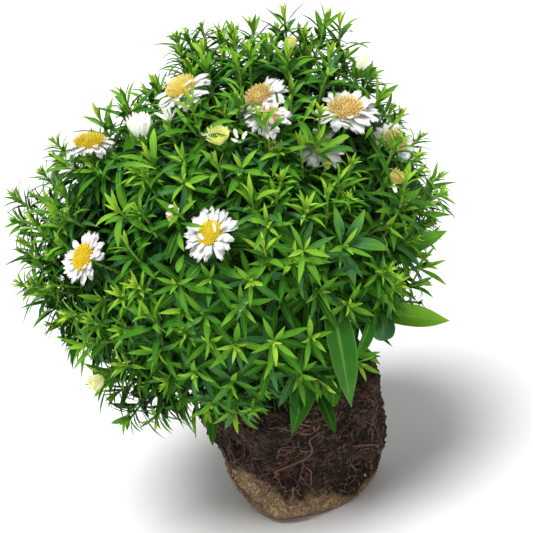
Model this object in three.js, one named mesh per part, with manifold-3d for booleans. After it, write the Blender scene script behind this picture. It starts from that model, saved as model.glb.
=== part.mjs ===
// A compact michaelmas daisy lifted out of its pot: a tapered root ball, a domed bush of leafy
// stems that forks from a crown, white daisy blooms with yellow discs, and closed or spent heads.
// Millimetres, +Z up. The origin is the middle of the flat foot that the root ball stands on, and
// the side with the most blooms faces -Y.
import * as THREE from 'three';
import { mergeVertices } from 'three/addons/utils/BufferGeometryUtils.js';
import Module from 'manifold-3d';

const wasm = await Module();
wasm.setup();

// Driving dimensions
const rootBall = { height: 98, footRadius: 38, heelRadius: 46, shoulderRadius: 62, rimRadius: 52 };
const canopy = {
	centre: new THREE.Vector3( - 6, 0, 196 ), // middle of the dome that the shoot tips lie on
	reach: new THREE.Vector3( 137, 133, 125 ), // from that middle to the tips, along X, Y and Z
	lowestSine: - 0.66, // sine of the steepest angle at which a shoot hangs below the middle
};
// Where the bush stands out of that dome or sinks below it, as degrees round it from +X and degrees
// above its middle, the share of the reach, and how closely the swell keeps to that direction.
const swells = [
	{ around: 0, above: 56, share: 0.12, focus: 9 },
	{ around: 180, above: 30, share: 0.06, focus: 10 },
	{ around: 158, above: 62, share: - 0.21, focus: 9 },
	{ around: 100, above: 82, share: 0.05, focus: 30 },
	{ around: 0, above: 20, share: - 0.08, focus: 36 },
	{ around: 0, above: - 26, share: - 0.08, focus: 14 },
];
const crown = { innerRadius: 8, outerRadius: 40, holeDepth: 6, holeRadius: 5.4, gap: 0.3 };
const stem = { count: 24, radius: 1.9, bareTo: 0.18, forkLow: 0.34, forkHigh: 0.7, tipFrom: 0.72 };
const branch = { radius: 1.5, sides: 3, steps: 2 };
const shoot = { count: 55, bloomRoom: 27 };
const leaf = { room: 1.1, trim: 1.5, least: 8 };
const rosette = { arms: 5, hub: 2.8, notch: 0.4, thickness: 1 };
const fullLeaf = { length: 36, width: 9.5, widest: 0.45, slimmest: 0.42, rise: 0.42, droop: 0.56 };
const youngLeaf = { length: 16, rise: 1.0, droop: 0.2 };
const thick = {
	rings: 5, sides: 10, low: 0.28, high: 0.84, head: 0.92,
	reach: 46, least: 3, rise: 0.75, hollow: 0.5, room: 2, share: 0.95,
};
const basalLeaf = { length: 62, width: 13.5, thickness: 0.9, topSine: - 0.1 };
const bloom = { radius: 19.5, petals: 14, petalFrom: 0.36, layerRise: 0.09, thickness: 0.75, headroom: 11 };
const disc = { radius: 7.6, height: 4.4, sides: 8, rib: 0.4, lift: 1.1 };
const closed = { sides: 8, rib: 0.06 };
const cup = { radius: 5.2, height: 5.5, sides: 4 };
const roots = { count: 6, radius: 2.3, sides: 3, steps: 5, raised: 2.2 };

// Every open bloom: where it sits on the dome, as degrees round it from +X and degrees above its
// middle, its share of the full size, how far its face lifts to the sky and turns aside, in
// degrees, from the way it sits, and its share of the reach.
const openBlooms = [
	{ around: - 141, above: 47, size: 0.96, lift: 2.0, turn: 90, reach: 1.0 },
	{ around: - 99, above: 62, size: 1.0, lift: 0.1, turn: - 17, reach: 1.0 },
	{ around: - 61, above: 56, size: 0.95, lift: 0.0, turn: - 56, reach: 0.9 },
	{ around: - 71, above: 43, size: 0.8, lift: 0.3, turn: 0, reach: 1.03 },
	{ around: - 43, above: 37, size: 1.14, lift: 0.9, turn: - 25, reach: 1.0 },
	{ around: - 32, above: 23, size: 0.8, lift: 0.2, turn: - 30, reach: 0.98 },
	{ around: - 54, above: 33, size: 0.9, lift: 0.7, turn: 0, reach: 0.88 },
	{ around: - 96, above: 18, size: 1.04, lift: 0.65, turn: - 23, reach: 1.0 },
	{ around: - 133, above: 16, size: 1.0, lift: 0.55, turn: - 5, reach: 1.0 },
	{ around: 62, above: 42, size: 1.0, lift: 0.2, turn: 0, reach: 1.0 },
	{ around: 118, above: 24, size: 0.95, lift: 0.2, turn: 0, reach: 1.0 },
	{ around: 152, above: 28, size: 1.0, lift: 0.2, turn: 0, reach: 0.99 },
];

// Closed, half-open and spent heads, as above; height and girth are in millimetres.
const closedHeads = [
	{ around: - 118, above: 50, girth: 9.0, height: 13, lift: 1.2, turn: 60, reach: 0.98 },
	{ around: - 88, above: 42, girth: 6.8, height: 9, lift: 0.25, turn: 0, reach: 1.0 },
	{ around: - 21, above: 44, girth: 6.0, height: 9, lift: 0.25, turn: 0, reach: 1.06 },
	{ around: - 26, above: 62, girth: 5.2, height: 7, lift: 0.25, turn: 0, reach: 1.03 },
	{ around: - 143, above: 13, girth: 6.4, height: 9, lift: 0.25, turn: 0, reach: 0.92 },
	{ around: - 147, above: - 24, girth: 6.6, height: 10, lift: 0.25, turn: 0, reach: 1.0 },
	{ around: - 43, above: 15, girth: 6.4, height: 7, lift: 0.25, turn: 0, reach: 1.0 },
];

const colours = {
	soil: 0x33241b, leaf: 0x3f8a2c, petal: 0xf4f4ee, disc: 0xe8b820, closed: 0xeceec0,
};

const up = new THREE.Vector3( 0, 0, 1 );
const goldenAngle = Math.PI * ( 3 - Math.sqrt( 5 ) );

// A steady pseudo-random number from -1 to 1 for the item of that index.
function wobble( index, salt ) {

	const s = Math.sin( index * 12.9898 + salt * 78.233 ) * 43758.5453;
	return ( s - Math.floor( s ) ) * 2 - 1;

}

function directionOf( around, above ) {

	const a = THREE.MathUtils.degToRad( around ), e = THREE.MathUtils.degToRad( above );
	return new THREE.Vector3( Math.cos( e ) * Math.cos( a ), Math.cos( e ) * Math.sin( a ), Math.sin( e ) );

}

function spiralDirection( index, count, turn ) {

	const sine = 1 - ( 1 - canopy.lowestSine ) * ( index + 0.5 ) / count;
	const flat = Math.sqrt( 1 - sine * sine ), angle = index * goldenAngle + turn;
	return new THREE.Vector3( flat * Math.cos( angle ), flat * Math.sin( angle ), sine );

}

function canopyPoint( direction, share = 1 ) {

	return direction.clone().multiply( canopy.reach ).multiplyScalar( share ).add( canopy.centre );

}

// The share of the reach at which shoots end in a direction.
function swollen( direction ) {

	return swells.reduce( ( sum, swell ) => {

		const near = Math.max( 0, direction.dot( directionOf( swell.around, swell.above ) ) );
		return sum + swell.share * near ** swell.focus;

	}, 1 );

}

// Closed meshes and solids

function meshOf( points, triangles ) {

	const geometry = new THREE.BufferGeometry();
	const coordinates = points.flatMap( p => p.toArray() );
	geometry.setAttribute( 'position', new THREE.Float32BufferAttribute( coordinates, 3 ) );
	geometry.setIndex( triangles );
	return geometry;

}

function solidOf( geometry ) {

	const bare = geometry.clone();
	bare.deleteAttribute( 'normal' );
	bare.deleteAttribute( 'uv' );
	const merged = mergeVertices( bare, 1e-4 );
	return new wasm.Manifold( new wasm.Mesh( {
		numProp: 3,
		vertProperties: new Float32Array( merged.attributes.position.array ),
		triVerts: new Uint32Array( merged.index.array ),
	} ) );

}

function geometryOf( solid ) {

	const mesh = solid.getMesh();
	const geometry = new THREE.BufferGeometry();
	geometry.setAttribute( 'position', new THREE.BufferAttribute( mesh.vertProperties, 3 ) );
	geometry.setIndex( new THREE.BufferAttribute( mesh.triVerts, 1 ) );
	geometry.computeVertexNormals();
	return geometry;

}

function join( solids ) {

	return solids.reduce( ( whole, piece ) => whole.add( piece ) );

}

function tube( curve, radius, sides, steps ) {

	const section = new THREE.Shape();
	for ( let i = 0; i < sides; i ++ ) {

		const angle = ( i + 0.5 ) / sides * 2 * Math.PI;
		const x = radius * Math.cos( angle ), y = radius * Math.sin( angle );
		if ( i ) section.lineTo( x, y );
		else section.moveTo( x, y );

	}

	section.closePath();
	return solidOf( new THREE.ExtrudeGeometry( section, { steps, extrudePath: curve } ) );

}

// Two unit vectors across an axis.
function acrossOf( axis ) {

	const side = new THREE.Vector3( 1, 0, 0 );
	if ( Math.abs( axis.x ) > 0.9 ) side.set( 0, 1, 0 );
	const first = side.cross( axis ).normalize();
	return [ first, axis.clone().cross( first ) ];

}

// The direction that lies at an angle between the two.
function turned( [ first, second ], angle ) {

	return first.clone().multiplyScalar( Math.cos( angle ) ).addScaledVector( second, Math.sin( angle ) );

}

// A thin star-shaped plate round a flat hub. Each arm lists its rim points: first the notch before
// it, and then the points that run out along one side and back along the other.
function starPlate( arms, axis, thickness ) {

	const rim = arms.flat(), count = rim.length;
	const down = axis.clone().multiplyScalar( - thickness );
	const points = [ ...rim, ...rim.map( p => p.clone().add( down ) ) ], triangles = [];
	const face = ( a, b, c ) => triangles.push( a, b, c, count + a, count + c, count + b );
	let notch = 0;
	for ( const arm of arms ) {

		const next = ( notch + arm.length ) % count;
		if ( notch && next ) face( 0, notch, next );
		for ( let low = notch + 1, high = notch + arm.length - 1; low <= high; low ++, high -- ) {

			const before = low === notch + 1 ? [ notch, next ] : [ low - 1, high + 1 ];
			face( before[ 0 ], low, before[ 1 ] );
			if ( low < high ) face( before[ 1 ], low, high );

		}

		notch += arm.length;

	}

	for ( let p = 0; p < count; p ++ ) {

		const q = ( p + 1 ) % count;
		triangles.push( count + p, count + q, q, count + p, q, p );

	}

	return solidOf( meshOf( points, triangles ) );

}

// A point on a leaf or petal that starts at a middle, rises from the plane across the axis and droops.
function alongArm( middle, outward, axis, distance, length, rise, droop ) {

	const flat = distance * Math.cos( rise );
	const height = distance * Math.sin( rise ) - droop * distance * distance / length;
	return middle.clone().addScaledVector( outward, flat ).addScaledVector( axis, height );

}

// A closed skin over rings that hold the same number of points each, from the foot to the head.
function skinOver( foot, rings, head ) {

	const sides = rings[ 0 ].length, last = rings.length - 1, triangles = [];
	const at = ( ring, i ) => 2 + ring * sides + i % sides;
	for ( let i = 0; i < sides; i ++ ) {

		triangles.push( 0, at( 0, i + 1 ), at( 0, i ), 1, at( last, i ), at( last, i + 1 ) );
		for ( let ring = 0; ring < last; ring ++ ) {

			triangles.push( at( ring, i ), at( ring, i + 1 ), at( ring + 1, i ) );
			triangles.push( at( ring, i + 1 ), at( ring + 1, i + 1 ), at( ring + 1, i ) );

		}

	}

	return solidOf( meshOf( [ foot, head, ...rings.flat() ], triangles ) );

}

// A solid of revolution with ribs: the profile lists [radius, height] from the foot to the head.
function ribbedSolid( base, axis, profile, sides, ribDepth ) {

	const across = acrossOf( axis );
	const foot = base.clone().addScaledVector( axis, profile[ 0 ][ 1 ] );
	const head = base.clone().addScaledVector( axis, profile[ profile.length - 1 ][ 1 ] );
	const rings = profile.slice( 1, - 1 ).map( ( [ radius, height ], ring ) =>
		Array.from( { length: sides }, ( _, i ) => {

			const angle = ( i + ring * 0.5 ) / sides * 2 * Math.PI;
			const rib = ring ? ribDepth * ( ( i + ring ) % 2 ? 1 : - 1 ) : 0;
			return base.clone().addScaledVector( axis, height + rib )
				.addScaledVector( turned( across, angle ), radius + rib );

		} ) );
	return skinOver( foot, rings, head );

}

// Where the heads sit and which way they face

function headOf( entry, index, kind ) {

	const direction = directionOf( entry.around, entry.above );
	const facing = directionOf( entry.around + entry.turn, entry.above );
	const axis = facing.addScaledVector( up, entry.lift ).normalize();
	const place = canopyPoint( direction, entry.reach );
	const seat = place.clone().addScaledVector( axis, - cup.height / 2 );
	return { ...entry, index, kind, direction, axis, place, seat };

}

const heads = [
	...openBlooms.map( ( entry, i ) => headOf( entry, i, 'open' ) ),
	...closedHeads.map( ( entry, i ) => headOf( entry, i, 'closed' ) ),
];

// Shoot tips are spread evenly over the dome, away from the heads.
function shootTips() {

	const tips = [];
	for ( let i = 0; i < shoot.count; i ++ ) {

		const direction = spiralDirection( i, shoot.count, 0.6 );
		const share = swollen( direction ) + 0.035 * wobble( i, 3 );
		const place = canopyPoint( direction, share );
		const room = head => head.kind === 'open' ? shoot.bloomRoom * head.size : head.girth + 12;
		if ( heads.some( head => head.place.distanceTo( place ) < room( head ) ) ) continue;
		const axis = direction.clone().addScaledVector( up, 0.42 ).normalize();
		tips.push( { kind: 'shoot', index: i, direction, seat: place, axis } );

	}

	return tips;

}

// The skeleton: each stem stands in the crown and runs up to the end nearest to its direction,
// and its branches leave it one above the other towards the other tips and heads

function pathTo( from, to, axis ) {

	const bend = to.clone().addScaledVector( axis, - 0.5 * from.distanceTo( to ) );
	return new THREE.QuadraticBezierCurve3( from, bend, to );

}

function segmentsOf( curve, pieces ) {

	const points = curve.getPoints( pieces );
	return points.slice( 1 ).map( ( p, i ) => new THREE.Line3( points[ i ], p ) );

}

function soilHeight( radius ) {

	return rootBall.height - 3 * ( radius / rootBall.rimRadius ) ** 2;

}

function growStem( s ) {

	const polar = Math.acos( s.direction.z ) / Math.acos( canopy.lowestSine );
	const radius = crown.innerRadius + ( crown.outerRadius - crown.innerRadius ) * polar;
	s.outward = s.direction.clone().setZ( 0 ).normalize();
	s.foot = s.outward.clone().multiplyScalar( radius ).setZ( soilHeight( radius ) - crown.holeDepth );
	s.ends.sort( ( a, b ) => b.direction.dot( s.direction ) - a.direction.dot( s.direction ) );
	const [ leader, ...others ] = s.ends;
	const reach = s.foot.distanceTo( leader.seat );
	s.main = new THREE.CubicBezierCurve3(
		s.foot,
		s.foot.clone().addScaledVector( up, 0.36 * reach ),
		leader.seat.clone().addScaledVector( leader.axis, - 0.3 * reach ),
		leader.seat,
	);
	leader.path = pathTo( s.main.getPoint( stem.tipFrom ), leader.seat, leader.axis );
	others.forEach( ( end, i ) => {

		const share = stem.forkLow + ( stem.forkHigh - stem.forkLow ) * ( i + 0.5 ) / others.length;
		end.path = pathTo( s.main.getPoint( share ), end.seat, end.axis );

	} );
	s.segments = [ ...segmentsOf( s.main, 8 ), ...others.flatMap( end => segmentsOf( end.path, 4 ) ) ];
	return s;

}

function makeStems() {

	const stems = Array.from( { length: stem.count }, ( _, index ) =>
		( { index, direction: spiralDirection( index, stem.count, 0 ), ends: [] } ) );
	const nearest = direction => stems.reduce( ( best, s ) =>
		s.direction.dot( direction ) > best.direction.dot( direction ) ? s : best );
	[ ...shootTips(), ...heads ].forEach( end => nearest( end.direction ).ends.push( end ) );
	return stems.map( growStem );

}

const stems = makeStems();

// Room: a leaf stays nearer to its own stem's skeleton than to any other, and out of the blooms

const nearPoint = new THREE.Vector3();

function distanceTo( segments, point ) {

	let least = Infinity;
	for ( const segment of segments ) {

		segment.closestPointToPoint( point, true, nearPoint );
		least = Math.min( least, nearPoint.distanceTo( point ) );

	}

	return least;

}

function inHead( point ) {

	return heads.some( head => {

		const offset = point.clone().sub( head.place );
		const height = offset.dot( head.axis );
		const across = offset.addScaledVector( head.axis, - height ).length();
		const wide = head.kind === 'open' ? bloom.radius * head.size + 2.5 : head.girth + 2.5;
		const tall = head.kind === 'open' ? bloom.headroom : head.height + 3;
		return across < wide && height > - 8 && height < tall;

	} );

}

function inRootBall( point ) {

	const radius = Math.hypot( point.x, point.y );
	return point.z < rootBall.height + 4 && radius < rootBall.shoulderRadius + 10;

}

function hasRoom( own, point, room ) {

	if ( inHead( point ) || inRootBall( point ) ) return false;
	const mine = distanceTo( own.segments, point );
	return stems.every( s => s === own || distanceTo( s.segments, point ) > mine + 2 * room );

}

// The longest length that keeps an arm's sample points in their room.
function fitted( own, wanted, samples ) {

	const fits = length => samples( length ).every( p => hasRoom( own, p, leaf.room ) );
	let length = wanted;
	while ( length > leaf.least && ! fits( length ) ) length -= leaf.trim;
	return Math.max( length, leaf.least );

}

// Leaves

// The rosette that ends a shoot: lance-shaped leaves that arch out, each as long as its room
// allows, with a young upright leaf between each two.
function leafRosette( own, centre, axis, turn ) {

	const across = acrossOf( axis ), step = Math.PI / rosette.arms, arms = [];
	const notchAt = angle => centre.clone().addScaledVector( turned( across, angle ), rosette.hub );
	for ( let i = 0; i < rosette.arms; i ++ ) {

		const angle = turn + 2 * i * step, f = fullLeaf;
		const outward = turned( across, angle ), sideways = axis.clone().cross( outward );
		const rise = f.rise + 0.16 * wobble( i, turn * 5 + 1 );
		const at = ( share, length, side ) =>
			alongArm( centre, outward, axis, share * length, length, rise, f.droop )
				.addScaledVector( sideways, side / 2 );
		const samples = length => [
			at( 1, length, 0 ), at( 0.75, length, f.width / 2 ), at( 0.75, length, - f.width / 2 ),
			at( f.widest, length, f.width ), at( f.widest, length, - f.width ),
		];
		const length = fitted( own, f.length * ( 1 + 0.12 * wobble( i, turn * 3 ) ), samples );
		const width = Math.min( f.width, f.slimmest * length );
		arms.push( [ notchAt( angle - rosette.notch * step ),
			at( f.widest, length, - width ), at( 1, length, 0 ), at( f.widest, length, width ) ] );

		const young = turned( across, angle + step );
		const tip = l => alongArm( centre, young, axis, l, l, youngLeaf.rise, youngLeaf.droop );
		const youngLength = fitted( own, youngLeaf.length, l => [ tip( l ) ] );
		arms.push( [ notchAt( angle + rosette.notch * step ), tip( youngLength ) ] );

	}

	return starPlate( arms, axis, rosette.thickness );

}

// A stem with the thick of its leaves: bare at its foot, and then leaf points and hollows by
// turns, as far out as the room allows, which the rosettes stand out of.
function stemWithLeaves( own ) {

	const side = up.clone().cross( own.outward );
	const ringAt = ( along, pointOf ) => {

		const middle = own.main.getPointAt( along ), axis = own.main.getTangentAt( along );
		const second = axis.clone().cross( side ).normalize(), first = second.clone().cross( axis );
		return Array.from( { length: thick.sides }, ( _, i ) => {

			const outward = turned( [ first, second ], i / thick.sides * 2 * Math.PI );
			return pointOf( ( length, rise ) => alongArm( middle, outward, axis, length, length, rise, 0 ), i );

		} );

	};

	const isInside = p => p.clone().sub( canopy.centre ).divide( canopy.reach ).length() < thick.share;
	const isFree = p => isInside( p ) && hasRoom( own, p, thick.room );
	const bare = [ 0, stem.bareTo ].map( along => ringAt( along, at => at( stem.radius, 0 ) ) );
	const leafy = Array.from( { length: thick.rings }, ( _, ring ) =>
		ringAt( THREE.MathUtils.lerp( thick.low, thick.high, ring / ( thick.rings - 1 ) ), ( at, i ) => {

			const isPoint = ( i + ring ) % 2 === 0, rise = isPoint ? thick.rise : 0;
			let length = thick.reach * ( 1 + 0.15 * wobble( i + thick.sides * ring, own.index ) );
			while ( length > thick.least && ! isFree( at( length, rise ) ) ) length -= leaf.trim;
			return at( isPoint ? length : Math.max( length * thick.hollow, thick.least ), rise );

		} ) );
	return skinOver( own.foot, [ ...bare, ...leafy ], own.main.getPointAt( thick.head ) );

}

// A large leaf at the foot of the outer stems: it arches over the rim of the root ball and hangs.
function basalBlade( own ) {

	const start = own.main.getPointAt( stem.bareTo );
	const sideways = up.clone().cross( own.outward );
	const stations = [
		[ 0, 0, 0.12 ], [ 0.28, 0.04, 0.62 ], [ 0.55, - 0.1, 1 ], [ 0.74, - 0.32, 0.7 ], [ 0.84, - 0.6, 0 ],
	];
	const points = [], triangles = [], last = stations.length - 1;
	stations.forEach( ( [ out, rise, share ], i ) => {

		const middle = start.clone().addScaledVector( own.outward, out * basalLeaf.length )
			.addScaledVector( up, rise * basalLeaf.length );
		const half = share * basalLeaf.width / 2;
		for ( const side of i < last ? [ - 1, 1 ] : [ 0 ] ) {

			const edge = middle.clone().addScaledVector( sideways, side * half );
			points.push( edge, edge.clone().addScaledVector( up, - basalLeaf.thickness * 1.3 ) );

		}

	} );
	// Each station holds its right top, right bottom, left top and left bottom; the tip only two.
	triangles.push( 0, 3, 1, 0, 2, 3 );
	for ( let i = 0; i + 1 < last; i ++ ) {

		const [ a, b ] = [ 4 * i, 4 * i + 4 ];
		triangles.push( a, b + 2, a + 2, a, b, b + 2, a + 1, a + 3, b + 3, a + 1, b + 3, b + 1 );
		triangles.push( a, b + 1, b, a, a + 1, b + 1, a + 2, b + 2, b + 3, a + 2, b + 3, a + 3 );

	}

	const a = 4 * ( last - 1 ), tip = 4 * last;
	triangles.push( a, tip, a + 2, a + 1, a + 3, tip + 1 );
	triangles.push( a, tip + 1, tip, a, a + 1, tip + 1, a + 2, tip, tip + 1, a + 2, tip + 1, a + 3 );
	return solidOf( meshOf( points, triangles ) );

}

// Pieces

function addPiece( group, name, solid, colour, roughness ) {

	const material = new THREE.MeshStandardMaterial( { color: colour, roughness, metalness: 0 } );
	const mesh = new THREE.Mesh( geometryOf( solid ), material );
	mesh.name = name;
	group.add( mesh );

}

// The green cup of bracts that a head sits in.
function bractCup( head ) {

	const seat = head.place.clone().addScaledVector( head.axis, - crown.gap );
	const radius = cup.radius * ( head.kind === 'open' ? head.size : head.girth / 7 );
	const profile = [ [ 0, - cup.height ], [ radius, - 1.2 ], [ 0.72 * radius, 0 ], [ 0, 0 ] ];
	return ribbedSolid( seat, head.axis, profile, cup.sides, 0 );

}

function leafyStem( own ) {

	const solids = [ stemWithLeaves( own ) ];
	for ( const end of own.ends ) {

		solids.push( tube( end.path, branch.radius, branch.sides, branch.steps ) );
		if ( end.kind !== 'shoot' ) solids.push( bractCup( end ) );
		else {

			const axis = end.path.getTangentAt( 1 );
			const centre = end.seat.clone().addScaledVector( axis, rosette.thickness / 2 );
			solids.push( leafRosette( own, centre, axis, end.index * goldenAngle ) );

		}

	}

	if ( own.direction.z < basalLeaf.topSine ) solids.push( basalBlade( own ) );
	return join( solids );

}

function bloomRays( head ) {

	const across = acrossOf( head.axis ), arms = [];
	const centre = head.place.clone().addScaledVector( head.axis, bloom.thickness );
	const radius = bloom.radius * head.size, step = 2 * Math.PI / bloom.petals, half = 0.36 * step;
	for ( let i = 0; i < bloom.petals; i ++ ) {

		const angle = i * step, layer = i % 2 ? 1 : - 1;
		const length = radius * ( 1 - 0.05 * layer + 0.06 * wobble( i, head.index ) );
		const rise = 0.1 + bloom.layerRise * layer;
		const at = ( share, turn ) =>
			alongArm( centre, turned( across, turn ), head.axis, share * length, length, rise, 0.08 );
		arms.push( [ at( bloom.petalFrom, angle - step / 2 ), at( 0.97, angle - half ), at( 1, angle + half ) ] );

	}

	return starPlate( arms, head.axis, bloom.thickness );

}

function bloomDisc( head ) {

	const base = head.place.clone().addScaledVector( head.axis, bloom.thickness + crown.gap + disc.lift );
	const r = disc.radius * head.size, h = disc.height;
	const profile = [ [ 0, 0 ], [ r * 0.85, 0 ], [ r, h * 0.4 ], [ r * 0.6, h * 0.95 ], [ 0, h ] ];
	return ribbedSolid( base, head.axis, profile, disc.sides, disc.rib );

}

function closedPetals( head ) {

	const r = head.girth, h = head.height;
	const profile = [
		[ 0, 0 ], [ r * 0.5, 0 ], [ r * 0.95, h * 0.4 ], [ r, h * 0.75 ], [ r * 0.55, h ], [ 0, h * 0.88 ],
	];
	return ribbedSolid( head.place, head.axis, profile, closed.sides, closed.rib * r );

}

// How far the lumps of the root ball stand out at a place on its side.
function lump( angle, height ) {

	return 2.6 * Math.sin( 2 * angle + 0.05 * height ) + 2 * Math.sin( 5 * angle - 0.11 * height );

}

// The root ball keeps the taper of its pot, with a rounded heel and lumps.
function rootBallSolid() {

	const around = 26, b = rootBall;
	const profile = [
		[ b.footRadius, 0 ], [ b.heelRadius, 7 ], [ b.heelRadius + 5, 22 ], [ b.heelRadius + 8.5, 40 ],
		[ b.heelRadius + 12.5, 60 ], [ b.shoulderRadius, 80 ], [ b.shoulderRadius - 2, 90 ],
		[ b.rimRadius, soilHeight( b.rimRadius ) ],
	];
	const rings = profile.map( ( [ radius, height ], ring ) => Array.from( { length: around }, ( _, i ) => {

		const angle = i / around * 2 * Math.PI;
		const rough = ring ? lump( angle, height ) + 2.2 * wobble( i + ring * around, 11 ) : 0;
		const r = radius + rough;
		return new THREE.Vector3( r * Math.cos( angle ), r * Math.sin( angle ), height );

	} ) );
	return skinOver( new THREE.Vector3(), rings, new THREE.Vector3( 0, 0, b.height ) );

}

// A root that winds over the side of the ball, half sunk in it.
function surfaceRoot( index ) {

	const start = index * goldenAngle * 1.7, low = 14 + 20 * ( index % 3 ), points = [];
	const way = index % 2 ? 1 : - 1;
	for ( let i = 0; i <= 6; i ++ ) {

		const height = low + 5.5 * i + 3 * Math.sin( i * 1.3 + index );
		const angle = start + 0.16 * i * way + 0.1 * Math.sin( i * 1.9 + index );
		const radius = rootBall.heelRadius + roots.raised + 0.21 * height + lump( angle, height );
		points.push( new THREE.Vector3( radius * Math.cos( angle ), radius * Math.sin( angle ), height ) );

	}

	return tube( new THREE.CatmullRomCurve3( points ), roots.radius, roots.sides, roots.steps );

}

function rootBallPiece() {

	const side = Array.from( { length: roots.count }, ( _, i ) => surfaceRoot( i ) );
	const ball = join( [ rootBallSolid(), ...side ] ), depth = 40;
	const holes = stems.map( s => {

		const hole = new THREE.CylinderGeometry( crown.holeRadius, crown.holeRadius, depth, 4 );
		hole.rotateX( Math.PI / 2 ).rotateZ( Math.atan2( s.outward.y, s.outward.x ) );
		hole.translate( s.foot.x, s.foot.y, s.foot.z - crown.gap + depth / 2 );
		return solidOf( hole );

	} );
	return ball.subtract( join( holes ) );

}

const plant = new THREE.Group();
addPiece( plant, 'root_ball', rootBallPiece(), colours.soil, 0.95 );
for ( const s of stems ) {

	const label = String( s.index + 1 ).padStart( 2, '0' );
	addPiece( plant, 'leafy_stem_' + label, leafyStem( s ), colours.leaf, 0.55 );

}

for ( const head of heads ) {

	const label = String( head.index + 1 ).padStart( 2, '0' );
	if ( head.kind === 'open' ) {

		addPiece( plant, 'bloom_' + label + '_rays', bloomRays( head ), colours.petal, 0.6 );
		addPiece( plant, 'bloom_' + label + '_disc', bloomDisc( head ), colours.disc, 0.8 );

	} else {

		addPiece( plant, 'closed_head_' + label, closedPetals( head ), colours.closed, 0.6 );

	}

}

export default plant;
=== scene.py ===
# A compact michaelmas daisy with its bare root ball, dressed with fine leaves, petals and roots.
# Lengths in the dictionaries are in millimetres; meshes are made in metres.
import math
import random

import bpy
import numpy as np
from mathutils import Matrix, Vector, noise


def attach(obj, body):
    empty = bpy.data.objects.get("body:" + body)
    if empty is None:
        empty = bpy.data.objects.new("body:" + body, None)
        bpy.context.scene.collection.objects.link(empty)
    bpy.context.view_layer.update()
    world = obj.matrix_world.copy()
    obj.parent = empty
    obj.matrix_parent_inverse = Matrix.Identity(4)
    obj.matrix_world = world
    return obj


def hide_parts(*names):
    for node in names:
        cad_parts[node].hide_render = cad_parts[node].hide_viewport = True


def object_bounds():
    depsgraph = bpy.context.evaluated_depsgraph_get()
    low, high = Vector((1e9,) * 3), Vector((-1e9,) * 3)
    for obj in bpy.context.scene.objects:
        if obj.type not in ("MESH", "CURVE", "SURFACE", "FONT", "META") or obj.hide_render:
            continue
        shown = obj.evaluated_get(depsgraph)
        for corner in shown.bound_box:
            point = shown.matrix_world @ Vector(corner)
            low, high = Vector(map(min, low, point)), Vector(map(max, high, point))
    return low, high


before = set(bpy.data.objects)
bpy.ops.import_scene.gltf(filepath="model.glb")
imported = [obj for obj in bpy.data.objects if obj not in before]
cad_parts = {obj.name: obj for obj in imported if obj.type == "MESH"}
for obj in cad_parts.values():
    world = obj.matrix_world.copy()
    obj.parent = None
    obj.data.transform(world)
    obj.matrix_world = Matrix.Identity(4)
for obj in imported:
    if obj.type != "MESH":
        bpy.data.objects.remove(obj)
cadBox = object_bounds()
metre = 1000.0
print("frame loaded")


# The skeleton of the plant: the same crown, stems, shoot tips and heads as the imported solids

canopy = {"centre": Vector((-6, 0, 196)), "reach": Vector((137, 133, 125)), "lowestSine": -0.66}
crown = {"innerRadius": 8, "outerRadius": 40, "holeDepth": 6}
skeleton = {"stems": 24, "forkLow": 0.34, "forkHigh": 0.7, "rise": 0.36, "arrive": 0.3, "shoots": 55,
            "turn": 0.6, "lean": 0.42, "uneven": 0.035, "bloomRoom": 27, "headRoom": 12, "bloomRadius": 19.5,
            "cupHeight": 5.5}
ball = {"height": 98, "sink": 3, "rimRadius": 52, "rimHeight": 95.0, "footRadius": 38}
goldenAngle = math.pi * (3 - math.sqrt(5))
fullTurn = 2 * math.pi
up = Vector((0, 0, 1))


def named(columns, rows):  # a dictionary for each row; one at a row's end adds what only that row has
    columns = columns.split()
    return [dict(zip(columns, row), **dict(*row[len(columns):])) for row in rows]


# Where the bush stands out of the dome or sinks below it, in degrees as for the blooms
swells = named("around above share focus", [
    (0, 56, 0.12, 9),
    (180, 30, 0.06, 10),
    (158, 62, -0.21, 9),
    (100, 82, 0.05, 30),
    (0, 20, -0.08, 36),
    (0, -26, -0.08, 14),
])

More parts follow.
